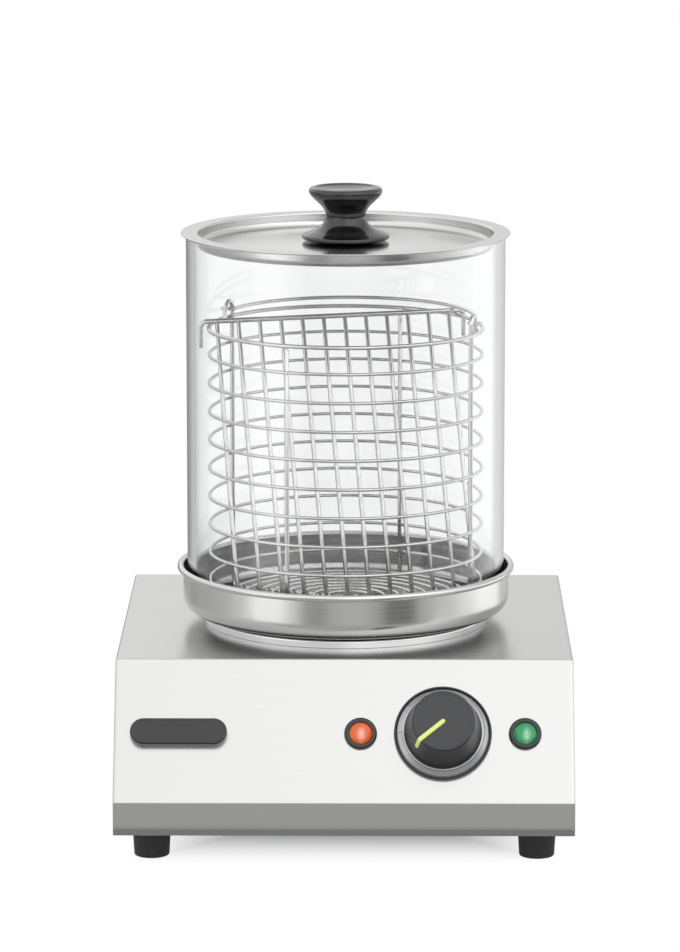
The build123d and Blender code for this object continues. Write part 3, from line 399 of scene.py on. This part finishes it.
# Pale polyamide of the terminal block.
pale_polyamide = moulded("natural_polyamide", ("#D8D1BD", "#E2DCCB"), (0.42, 0.52), 0.01, (2, 2, 2), 1.53)
# Brown phenolic of the thermostat, and the white ceramic of the cut-out.
brown_phenolic = moulded("brown_phenolic", ("#3A2A20", "#463327"), (0.35, 0.5), 0.01, (2, 2, 2), 1.6)
white_ceramic = moulded("white_steatite", ("#E6E1D3", "#EFEBE0"), (0.5, 0.62), 0.01, (1.5, 1.5, 1.5), 1.57)
# Grey silicone insulation of the wires inside.
wire_sleeve = moulded("grey_silicone_sleeve", ("#77797B", "#868889"), (0.5, 0.6), 0.01, (2, 2, 2), 1.43)
orange_lens = lit_lens("orange_lit_lens", "#7A2A05", "#D4560F", "#FFE3D2", lamp_xs[0], (0.3, -1.4))
green_lens = lit_lens("green_lit_lens", "#0C3325", "#0FA455", "#C8F7E0", lamp_xs[1], (0.9, -1.8))


# ---------------------------------------------------------------- base unit
def casing():
    """The folded casing. Its side outline stands at each x. Towards a side, with p from 0 to a right angle, x
    goes out by e sin p while the outline is drawn in along its normals by e (1 - cos p), a round edge."""
    bend, edge, near, sheet = 2.0, 1.6, 0.3, 1.0
    corners = [(y_front, z_bottom), (y_front, z_lip), (y_panel_top, z_top), (y_back, z_top)]
    outline = rounded([*corners, (y_back, z_bottom)], bend, parts=8)
    along = unit(np.gradient(outline, axis=0))
    normals = np.stack([-along[:, 1], along[:, 0]], 1)
    p = np.radians(np.linspace(0, 90, 8))
    x = np.concatenate([[half_width - edge - near], half_width - edge + edge * np.sin(p), [half_width]])
    inset = np.concatenate([[0], edge * (1 - np.cos(p)), [edge + near]])
    x, inset = np.concatenate([-x[::-1], x]), np.concatenate([inset[::-1], inset])
    places = outline[None] - normals[None] * inset[:, None, None]
    points = np.concatenate([np.broadcast_to(x[:, None, None], (*places.shape[:2], 1)), places], -1)
    made = piece("casing", [grid(points, columns=False, caps=True)], satin_sheet, "base", "housing")
    wall = made.modifiers.new("sheet", "SOLIDIFY")
    wall.thickness, wall.offset = sheet * MM, -1


def feet():
    """Moulded feet, a little wider at the top, with a recess in the sole."""
    height, radius, sole_radius, recess_radius, recess = 22, 12, 10.75, 4.5, 2
    low, high = reach("rubber_feet")
    corners = [(0, recess), (recess_radius, recess), (recess_radius, 0), (sole_radius, 0), (radius, height)]
    outline = rounded([*corners, (0, height)], [0, 0.3, 0.5, 1.2, 0.4, 0])
    across, along = ((low[i] + radius, high[i] - radius) for i in (0, 1))
    places = [Place((x, y, 0)) for y in along for x in across]
    piece("foot_pads", [turned(outline, place, 64) for place in places], foot_rubber, "base", "rubber_feet")


def hot_plate():
    """The polished ring on the casing and the dark plate that stands a little above it."""
    bore, outer, ring_top = 85.4, 89, z_top + 5
    corners = [(bore, z_top), (outer, z_top), (outer, ring_top), (bore, ring_top)]
    ring = rounded(corners, [0, 0.2, 1.5, 0.6], closed=True)
    piece("plate_ring", [turned(ring)], mirror_trim, "base", "trim_ring")
    radius, boss, top, foot = 85.1, 80.4, z_top + 6.6, z_top - 5
    corners = [(0, foot), (boss, foot), (boss, z_top), (radius, z_top), (radius, top), (0, top)]
    piece("plate", [turned(rounded(corners, [0, 0.5, 0, 0.3, 0.8, 0]))], coated_plate, "base", "hotplate")


def gland():
    """The cable gland: a hexagon whose corners are cut by a cone, then a fluted dome nut, and the bore
    through both. The hexagon's radius at angle a is its half width over the cosine of a's distance to a
    flat, and the flutes add their depth times cos 14a."""
    half_flat, flutes = 11, 14
    a = np.linspace(0, TAU, 144, endpoint=False)
    hexagon = half_flat / np.cos((a + np.pi / 6) % (np.pi / 3) - np.pi / 6)
    rows = [  # radius, height, whether hexagonal, depth of the flutes
        (8, -10, 0, 0), (8, 0, 0, 0), (12.7, 0, 1, 0), (12.7, 5.2, 1, 0), (11.6, 6, 1, 0), (9.3, 6, 0, 0),
        (9.3, 6.6, 0, 0), (8.8, 6.9, 0, 0.25), (8.8, 10.8, 0, 0.25), (8.7, 11.6, 0, 0), (8.4, 13.4, 0, 0),
        (7.8, 14.8, 0, 0), (7, 15.7, 0, 0), (6.2, 16, 0, 0), (4.8, 16, 0, 0), (4.1, 15.4, 0, 0),
        (4, -10, 0, 0),
    ]
    limit, height, flat, flute = np.array(rows, float).T[:, :, None]
    radius = np.where(flat > 0, np.minimum(hexagon, limit), limit + flute * np.cos(flutes * a))
    points = rear_wall.at(radius * np.cos(a), radius * np.sin(a), height)
    piece("gland_body", [grid(points, rows=True)], black_polyamide, "base", "cable_gland")


# ---------------------------------------------------------------- controls
cone_outer, cone_inner = (28.45, 1.8), (24.3, 5.2)  # radius and height of the silver face's two edges


def cone_height(radius):
    """Height of the dial's sloping face at a radius."""
    inwards = (cone_outer[0] - radius) / (cone_outer[0] - cone_inner[0])
    return cone_outer[1] + (cone_inner[1] - cone_outer[1]) * inwards


def dial_rings():
    """The black ring of the dial and the silver cone inside it, with its printed lines: the outer one keeps
    its radius, and the inner one's grows by 2 s^1.5 with s the share of the last 80 degrees, to a wedge."""
    bore, outer, groove, height, floor_height = 18.5, 29.75, 28.55, 2.6, 1
    under, inner = 4.4, 22.4
    corners = [(bore, 0), (outer, 0), (outer, height), (groove, height), (groove, floor_height)]
    corners += [(cone_inner[0], under), (bore, under)]
    ring = rounded(corners, [0, 0.3, 0.7, 0.3, 0, 0, 0], closed=True)
    piece("dial_ring", [turned(ring, dial, 128)], gloss_ring, "base", "dial_bezel")
    corners = [(inner, under), (cone_inner[0], under), (cone_outer[0], 1.05), cone_outer, cone_inner]
    corners.append((inner, cone_inner[1]))
    face = rounded(corners, [0, 0, 0, 0.15, 0.5, 0], closed=True)
    piece("dial_cone", [turned(face, dial, 128)], silver_dial, "base", "dial_plate")
    slope = unit(np.array([cone_inner[0] - cone_outer[0], cone_inner[1] - cone_outer[1]]))

    def line(radii, angles, width):
        """A printed line that follows the cone."""
        a = np.radians(angles)
        path = dial.at(radii * np.cos(a), radii * np.sin(a), cone_height(radii) + 0.02)
        out = np.cos(a)[:, None] * dial.x + np.sin(a)[:, None] * dial.y
        off = slope[1] * out - slope[0] * dial.z
        return strip(path, unit(np.cross(np.gradient(path, axis=0), off)), off, width, 0.05)

    inner_line, outer_line, width = 24.9, 27.6, 0.32
    sweep = np.linspace(180, 410, 120)
    wedge = inner_line + 2.0 * np.clip((sweep - 330) / 80, 0, 1) ** 1.5
    tick = np.linspace(0, 1, 6)
    lines = [
        line(wedge, sweep, width),
        line(np.full(120, outer_line), sweep, width),
        line(inner_line + 2.9 * tick, np.full(6, 180.0), 0.3),
        line(26.2 + 1.5 * tick, np.full(6, 139.5), 0.35),
    ]
    piece("dial_lines", lines, scale_ink, "base", slot="dial_plate")


def knob():
    """The control knob: a cone with a soft shoulder, and its pointer carried over the face and down the
    side. For its round ends the pointer's width is w sqrt(1 - (1 - e)^2), with e the distance from the nearer
    end over w/2."""
    base, face, base_radius, face_radius = 6.2, 27.2, 23.85, 18.9
    corners = [(0, base), (base_radius, base), (face_radius, face), (17.2, face), (16.5, face - 0.25)]
    corners.append((0, face - 0.3))
    outline = rounded(corners, [0, 0.6, 1.4, 0.2, 0.2, 0])
    piece("knob_body", [turned(outline, dial, 128)], knob_plastic, "knob", "control_knob")
    angle, width, proud = math.radians(219.5), 2.7, 0.28
    out = math.cos(angle) * dial.x + math.sin(angle) * dial.y
    across = -math.sin(angle) * dial.x + math.cos(angle) * dial.y
    run = divided(rounded([(-1, face - 0.15), (face_radius, face), (21.3, 17)], [0, 1.4, 0], parts=8), 0.4)
    along = unit(np.gradient(run, axis=0))
    far = np.concatenate([[0], np.linalg.norm(np.diff(run, axis=0), axis=1).cumsum()])
    end = np.clip(np.minimum(far, far[-1] - far) / (width / 2), 0.02, 1)
    widths = width * np.sqrt(1 - (1 - end) ** 2)
    path = dial.origin + run[:, :1] * out + run[:, 1:] * dial.z
    up = -along[:, 1:] * out + along[:, :1] * dial.z
    piece("pointer", [strip(path, across, up, widths, proud)], pointer_paint, "knob", "knob_pointer")


def lamps():
    """Two lamps: a round-shouldered ring with a domed lens in it."""
    bore, radius, height = 6.9, 10, 2.6
    corners = [(bore, 0), (radius, 0), (radius, height), (bore, height)]
    ring = rounded(corners, [0, 0.3, 1.4, 0.5], closed=True)
    piece("lamp_rings", [turned(ring, on_panel(x), 96) for x in lamp_xs], gloss_ring, "base", "lamp_bezels")
    dome = smooth([(6.8, 1.2), (6.5, 2.3), (5.4, 3.2), (3.2, 3.9), (0, 4.2)])
    outline = np.concatenate([[(0, 0.2), (6.8, 0.2)], dome])
    outline[-1, 0] = 0
    for name, x, lens, node in (
        ("lens_heating", lamp_xs[0], orange_lens, "lamp_lens_heating"),
        ("lens_power", lamp_xs[1], green_lens, "lamp_lens_power"),
    ):
        piece(name, [turned(outline, on_panel(x), 64)], lens, "base", node)


def blank_badge():
    """A bar with round ends: at angle a and inset d its point is the end's centre + (r - d)(cos a, sin a)."""
    length, radius, height, sunk = 59, 8.25, 6, 0.15
    half = length / 2 - radius
    profile = rounded([(0, 0), (0, height), (radius, height)], [0, 1.1, 0])[:-1]
    face = height - sunk
    profile = np.concatenate([profile, [(1.9, height), (2.1, face), (2.3, face), (radius, face)]])
    a = np.radians(np.concatenate([np.linspace(-90, 90, 33), np.linspace(90, 270, 33)]))
    centre = np.repeat([half, -half], 33)
    inset, height = profile.T[:, :, None]
    points = on_panel(badge_x).at(centre + (radius - inset) * np.cos(a), (radius - inset) * np.sin(a), height)
    piece("badge_bar", [grid(points)], badge_acrylic, "base", "badge")


# ---------------------------------------------------------------- pan, glass and lid
def pan():
    """The spun pan: flat floor, round corner, upright wall and a bead rolled outwards."""
    low, high = reach("water_pan")
    bottom, rim, bead, wall, sheet = low[2], high[2], 2.1, 103, 0.8
    centre = np.array([wall + 1.3, rim - bead])
    turn = np.radians(np.linspace(-128.2, 180, 22))
    roll = centre + bead * np.stack([np.cos(turn), np.sin(turn)], 1)
    outside = rounded([(0, bottom), (wall, bottom), (wall, roll[0, 1] - 0.2)], [0, 10, 0], parts=12)
    inside = rounded([roll[-1], (roll[-1, 0], bottom + sheet), (0, bottom + sheet)], [0, 9.2, 0], parts=12)
    outline = np.concatenate([outside, roll, inside[1:]])
    piece("pan_spun", [turned(outline, steps=192)], spun_steel, "pan", "water_pan")


def glass():
    """The glass tube, fire-polished at both ends."""
    outer, wall, low, high = glass_high[0], 5, glass_low[2], glass_high[2]
    inner = outer - wall
    outline = rounded([(inner, low), (outer, low), (outer, high), (inner, high)], 1.3, closed=True)
    piece("glass_tube", [turned(outline, steps=256)], clear_glass(), "glass", "glass_cylinder", crease=60)


def lid():
    """The dished lid, one sheet from its domed floor up the skirt to the flat flange, and its knob."""
    low, high = (corner[2] for corner in reach("lid"))
    hole, skirt, flange, sheet, dome = 3, 93, 103, 0.8, 3.6
    inside = skirt - sheet
    corners = [(hole, low + dome), (skirt, low - 0.15), (skirt, high - sheet), (flange, high - sheet)]
    corners += [(flange, high), (inside, high), (inside, low + 0.65), (hole, low + dome + sheet)]
    outline = rounded(corners, [0, 4.5, 0.5, 0.35, 0.35, 1.2, 3.7, 0], closed=True, parts=8)
    piece("lid_spun", [turned(outline, steps=192)], spun_steel, "lid", "lid")
    height, underside = 33, 0.2
    side = [  # radius and height of the grip, from its underside to the middle of its top
        (26.6, 0.4), (27.5, 1.4), (27, 2.8), (24, 4.2), (18.6, 6.5), (14.6, 9.7), (12.6, 13.5), (12.8, 17.1),
        (14.9, 20.7), (18.6, 24.3), (21.7, 27.5), (23, 30.1), (22.5, 31.9), (20.8, 32.85), (18.9, 32.6),
        (17.6, 31.9), (12, 30.9), (6, 30.4), (0, 30.3),
    ]
    seat = (0, reach("lid_knob")[1][2] - height)
    outline = np.concatenate([[(0, underside), (25.8, underside)], smooth(side)]) + seat
    outline[-1, 0] = 0
    piece("lid_grip", [turned(outline, steps=128)], phenolic, "lid", "lid_knob", crease=70)


# ---------------------------------------------------------------- wire basket
rim_z, rim_radius, rim_diameter = 307.0, 86, 2.6
hoop_count, hoop_radius, hoop_diameter, hoop_pitch = 9, 85.75, 2.1, 17.95
top_hoop_z = rim_z - 16.5
post_radius, post_diameter, post_bend = 83.2, 2.9, 4
lower_post_z, upper_post_z = 128.95, 131.9
lower_post_angles, eyelet_angles = (245, 65), (152, 338)
eyelet_rise, eyelet_span = 10.5, 12
eyelet_turn = math.degrees(eyelet_span / post_radius)
coil_radius, coil_pitch, coil_turns, coil_z = 79.2, 9.1, 8, 134.45


def hoop(radius, z, diameter):
    """A closed ring of wire round the axis."""
    path = polar(radius, np.linspace(0, 360, 120, endpoint=False), z)
    return tube(path, diameter, UP, closed=True, sides=12)


def plain_post(front, back, z):
    """A wire bent to a U under the floor, its ends just below the middle of the rim."""
    end = rim_z - 0.1
    bends = ((front, end), (front, z), (back, z), (back, end))
    corners = [polar(post_radius, angle, height) for angle, height in bends]
    side = np.cross(corners[2] - corners[1], UP)
    return tube(rounded(corners, post_bend, parts=8), post_diameter, side)


def eyelet_post(left, right, z):
    """A wire bent to a U whose ends rise over the rim and bend over to eyelets: shares of the eyelet's span
    and rise, smoothed and laid on the posts' circle. The section's side direction turns from square to the U
    at its foot to straight out from the axis at its top, by 3t^2 - 2t^3 with t the share of the height
    between."""
    turn_start, turn_height = 150, 130
    eyelet = [(0, -0.8), (0, 0), (0, 0.5), (0.08, 0.83), (0.28, 1), (0.5, 1), (0.68, 0.83), (0.82, 0.45)]
    along, rise = smooth([*eyelet, (1, -0.15)], 5).T
    height = rim_z + eyelet_rise * rise
    first, last = (polar(post_radius, angle + eyelet_turn * along, height) for angle in (left, right))
    foot = [polar(post_radius, angle, z) for angle in (left, right)]
    body = divided(rounded([first[0], *foot, last[0]], post_bend, parts=8), 8)
    path = np.concatenate([first[:0:-1], body, last[1:]])
    out = unit((path - upright.origin) * (1, 1, 0))
    share = np.clip((path[:, 2:] - turn_start) / turn_height, 0, 1)
    share = share**2 * (3 - 2 * share)
    square = unit(np.cross(foot[1] - foot[0], UP))
    return tube(path, post_diameter, (1 - share) * square + share * out)


def basket():
    """Rim, hoops, posts and the floor, a wire whose radius falls by one pitch a turn."""
    piece("rim_wire", [hoop(rim_radius, rim_z, rim_diameter)], bright_wire, "basket", "basket_rim")
    hoops = [hoop(hoop_radius, top_hoop_z - hoop_pitch * i, hoop_diameter) for i in range(hoop_count)]
    piece("hoop_wires", hoops, bright_wire, "basket", "basket_hoops")
    posts = [plain_post(*lower_post_angles, lower_post_z), eyelet_post(*eyelet_angles, upper_post_z)]
    piece("post_wires", posts, bright_wire, "basket", "basket_posts")
    turns = np.linspace(0, coil_turns, 72 * coil_turns + 1)
    coil = polar(coil_radius - coil_pitch * turns, 360 * turns, coil_z)
    piece("floor_wire", [tube(coil, hoop_diameter, UP, sides=12)], bright_wire, "basket", "basket_floor")


def divider():
    """A bar hooked over the rim, a foot rail on the floor and wires that lean from one to the other."""
    turn, top, foot, bar_z, rail_z = math.radians(17), 25.6, -29.5, 309.95, 137.2
    bar_diameter, wire_diameter, hook_drop, rail_half = 3.2, 2.8, 16, 78.4
    wire_count, wire_pitch, hook_radius = 12, 14, 91.5
    across = np.array([math.cos(turn), math.sin(turn), 0])
    behind = np.array([-math.sin(turn), math.cos(turn), 0])
    half = math.sqrt(hook_radius**2 - top**2)

    def point(along, back, z):
        """A point across the divider from its middle and behind the axis."""
        return upright.origin + across * along + behind * back + UP * z

    ends = ((-half, bar_z - hook_drop), (-half, bar_z), (half, bar_z), (half, bar_z - hook_drop))
    hooked = [point(along, top, z) for along, z in ends]
    wires = [tube(rounded(hooked, 4, parts=8), bar_diameter, behind)]
    wires.append(tube([point(side * rail_half, foot, rail_z) for side in (-1, 1)], wire_diameter, behind))
    for i in range(wire_count):
        x = wire_pitch * (i - (wire_count - 1) / 2)
        leaning = [point(x, top, bar_z - 0.6), point(x, foot, rail_z + 0.4)]
        wires.append(tube(leaning, wire_diameter, across, sides=12))
    piece("divider_wires", wires, bright_wire, "basket", "divider")


def handle():
    """The carrying handle: a half circle between the eyelets, middle - along r cos t + back r sin t, its ends
    bent outwards through them."""
    bow_z, eyelet_share, inside, tip, bend, diameter = 313.0, 0.394, 3.3, 5, 2.2, 2.3
    left, right = (polar(post_radius, angle + eyelet_share * eyelet_turn, bow_z) for angle in eyelet_angles)
    middle, along = (left + right) / 2, unit(right - left)
    back = np.cross(UP, along)
    radius = np.linalg.norm(right - left) / 2 - inside
    t = np.radians([0, *np.linspace(3, 177, 88), 180])[:, None]
    bow = middle - along * radius * np.cos(t) + back * radius * np.sin(t)
    first = rounded([left - along * tip, bow[0], bow[1]], bend)
    last = rounded([bow[-2], bow[-1], right + along * tip], bend)
    path = np.concatenate([first[:-1], bow[1:-1], last[1:]])
    piece("handle_bow", [tube(path, diameter, UP)], bright_wire, "handle", "basket_handle")


# ---------------------------------------------------------------- nodes of the frame that stay
def dress_nodes():
    """Give each node that keeps its own mesh its finish."""
    finishes = {
        zinc_steel: "base_plate base_screws foot_studs centre_stud element_clamp bridge stud_nuts earth_stud "
        "thermostat_screws thermostat_shaft lamp_clips",
        mill_aluminium: "heat_shield",
        oxidised_sheath: "heating_element",
        dull_copper: "sensor_bulb capillary",
        brown_phenolic: "thermostat",
        white_ceramic: "thermal_cutout",
        pale_polyamide: "terminal_block",
        yellow_brass: "terminal_screws",
        black_polyamide: "lamp_bodies gland_nut",
        wire_sleeve: "internal_wires",
        mirror_trim: "lid_knob_screw lid_knob_washer",
    }
    for finish, nodes in finishes.items():
        for node in nodes.split():
            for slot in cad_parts[node].material_slots:
                slot.material = finish


# ---------------------------------------------------------------- studio
def studio_world():
    """White for whatever looks straight at it or through glass, and a plain level for matt surfaces. Mirrored
    rays see a studio: below the horizon cards and gaps by the compass, 0 to the front and 90 to the right,
    and from there upwards a sheet of light that is brighter in front, most on the right."""
    world = bpy.data.worlds.new("studio")
    world.use_nodes = True
    scene.world = world
    tree = world.node_tree
    ray = add(tree, "TexCoord").outputs["Generated"]
    x, y, z = add(tree, "SeparateXYZ", [(0, ray)]).outputs
    front = add(tree, "Math", [(0, y), (1, -1.0)], operation="MULTIPLY").outputs[0]
    compass = add(tree, "Math", [(0, x), (1, front)], operation="ARCTAN2").outputs[0]
    limits = [("Value", compass), ("From Min", -np.pi), ("From Max", np.pi)]
    place = add(tree, "MapRange", limits).outputs["Result"]
    cards = {  # compass angle and level, of which the ramp holds half
        -180: 0.5, -172: 0.25, -160: 0.4, -149: 0.6, -138: 0.5, -122: 0.62, -98: 0.72, -78: 1.0,
        -64: 1.7, -48: 1.7, -36: 1.1, -27: 0.5, -17: 0.45, -8: 0.7, 10: 0.76, 22: 0.6, 32: 0.22, 46: 0.22,
        56: 0.7, 76: 1.0, 96: 1.4, 112: 1.75, 132: 1.6, 145: 0.8, 165: 0.72, 180: 0.55,
    }
    ramp = add(tree, "ValToRGB", [(0, place)])
    stops = ramp.color_ramp.elements
    ramp.color_ramp.interpolation = "EASE"
    for angle, level in cards.items():
        stop = stops[0] if angle == -180 else stops[-1] if angle == 180 else stops.new((angle + 180) / 360)
        stop.color = (level / 2, level / 2, level / 2, 1)
    bands = add(tree, "Math", [(0, ramp.outputs[0]), (1, 2.0)], operation="MULTIPLY").outputs[0]
    limits = [("Value", x), ("From Min", -0.16), ("From Max", 0.16), ("To Min", 1.52), ("To Max", 2.02)]
    ahead = add(tree, "MapRange", limits, interpolation_type="SMOOTHSTEP").outputs["Result"]
    limits = [("Value", x), ("From Min", -0.16), ("From Max", 0.16), ("To Min", 1.25), ("To Max", 0.92)]
    behind = add(tree, "MapRange", limits, interpolation_type="SMOOTHSTEP").outputs["Result"]
    limits = [("Value", y), ("From Min", -0.4), ("From Max", 0.4)]
    share = add(tree, "MapRange", limits).outputs["Result"]
    sheet = add(tree, "Mix", [(0, share), (2, ahead), (3, behind)], data_type="FLOAT").outputs[0]
    limits = [("Value", z), ("From Min", 0.0), ("From Max", 0.22)]
    high = add(tree, "MapRange", limits, interpolation_type="SMOOTHSTEP").outputs["Result"]
    mirrored = add(tree, "Mix", [(0, high), (2, bands), (3, sheet)], data_type="FLOAT").outputs[0]
    path = add(tree, "LightPath").outputs
    glossy = add(tree, "Math", [(0, path["Glossy Depth"]), (1, 0.5)], operation="GREATER_THAN").outputs[0]
    straight = [(0, path["Is Camera Ray"]), (1, path["Is Transmission Ray"])]
    straight = add(tree, "Math", straight, operation="MAXIMUM").outputs[0]
    plain = add(tree, "Mix", [(0, straight), (2, 0.6), (3, 1.0)], data_type="FLOAT").outputs[0]
    level = add(tree, "Mix", [(0, glossy), (2, plain), (3, mirrored)], data_type="FLOAT").outputs[0]
    tree.links.new(level, tree.nodes["Background"].inputs["Strength"])
    tree.nodes["Background"].inputs["Color"].default_value = (1, 1, 1, 1)


def floor():
    """A pale round table top. Seen straight or through glass it keeps the shadow under the object and is
    raised to white towards the edge of the object's footprint. Mirrored, it is a light grey there."""
    radius, drop = 620, 0.05
    r, a = np.linspace(0, radius, 12)[:, None], np.linspace(0, TAU, 96, endpoint=False)[None]
    made, tree, shader = start("pale_table", "#EFEFEE", 0.0, 0.8)
    path = add(tree, "LightPath").outputs
    seen = [(0, path["Is Camera Ray"]), (1, path["Is Transmission Ray"])]
    seen = add(tree, "Math", seen, operation="MAXIMUM").outputs[0]
    where = add(tree, "TexCoord").outputs["Object"]
    beside = add(tree, "VectorMath", [(0, where)], operation="ABSOLUTE").outputs[0]
    footprint = [(0, beside), (1, (half_width * MM, y_back * MM, 0))]
    outside = add(tree, "VectorMath", footprint, operation="SUBTRACT").outputs[0]
    sides = add(tree, "SeparateXYZ", [(0, outside)]).outputs
    away = add(tree, "Math", [(0, sides[0]), (1, sides[1])], operation="MAXIMUM").outputs[0]
    fade = [("Value", away), ("From Min", -0.1), ("From Max", 0.0)]
    fade = add(tree, "MapRange", fade, interpolation_type="SMOOTHSTEP").outputs["Result"]
    mirrored = add(tree, "Math", [(0, path["Glossy Depth"]), (1, 0.5)], operation="GREATER_THAN").outputs[0]
    looked_at = add(tree, "Math", [(0, seen), (1, mirrored)], operation="MAXIMUM").outputs[0]
    fade = add(tree, "Math", [(0, fade), (1, looked_at)], operation="MULTIPLY").outputs[0]
    strength = add(tree, "Mix", [(0, mirrored), (2, 1.0), (3, 0.6)], data_type="FLOAT").outputs[0]
    lift = add(tree, "Math", [(0, seen), (1, 0.12)], operation="MULTIPLY").outputs[0]
    shader.inputs["Emission Color"].default_value = (1, 1, 1, 1)
    tree.links.new(lift, shader.inputs["Emission Strength"])
    white = add(tree, "Emission", [("Strength", strength)]).outputs[0]
    mix = add(tree, "MixShader", [(0, fade), (1, shader.outputs[0]), (2, white)]).outputs[0]
    tree.links.new(mix, tree.nodes["Material Output"].inputs["Surface"])
    top = Place((0, 0, -drop)).at(r * np.cos(a), r * np.sin(a), 0)
    made = piece("table", [grid(top)], made, None)


def soft_light(name, place, size, watts, target=(0, 0, 0.15)):
    """A soft rectangular lamp that looks at the object. Metal mirrors the world's cards instead of it."""
    light = bpy.data.lights.new(name, "AREA")
    light.shape, light.size, light.size_y, light.energy = "RECTANGLE", *size, watts
    made = bpy.data.objects.new(name, light)
    made.location = place
    made.rotation_euler = (Vector(target) - Vector(place)).to_track_quat("-Z", "Y").to_euler()
    made.visible_camera = made.visible_transmission = made.visible_glossy = False
    scene.collection.objects.link(made)


def camera():
    """The photograph's view: a long lens 3 m in front, looking down by about ten and a half degrees."""
    lens = bpy.data.cameras.new("view")
    lens.sensor_width, lens.lens = 36, 185.5
    lens.clip_start, lens.clip_end = 0.1, 100
    made = bpy.data.objects.new("view", lens)
    made.location = (0.0186, -3.032, 0.783)
    made.rotation_euler = (math.radians(90 - 10.64), 0, math.radians(0.417))
    scene.collection.objects.link(made)
    scene.camera = made


casing()
feet()
hot_plate()
gland()
dial_rings()
knob()
lamps()
blank_badge()
pan()
glass()
lid()
basket()
divider()
handle()
dress_nodes()

studio_world()
floor()
soft_light("over_front", (0, -1.1, 1.7), (1.5, 1.0), 20)
soft_light("left", (-1.4, -0.9, 0.9), (0.5, 1.2), 7)
soft_light("right_rear", (1.3, 0.7, 1.1), (0.6, 0.9), 7)
camera()
scene.view_settings.view_transform = "Standard"
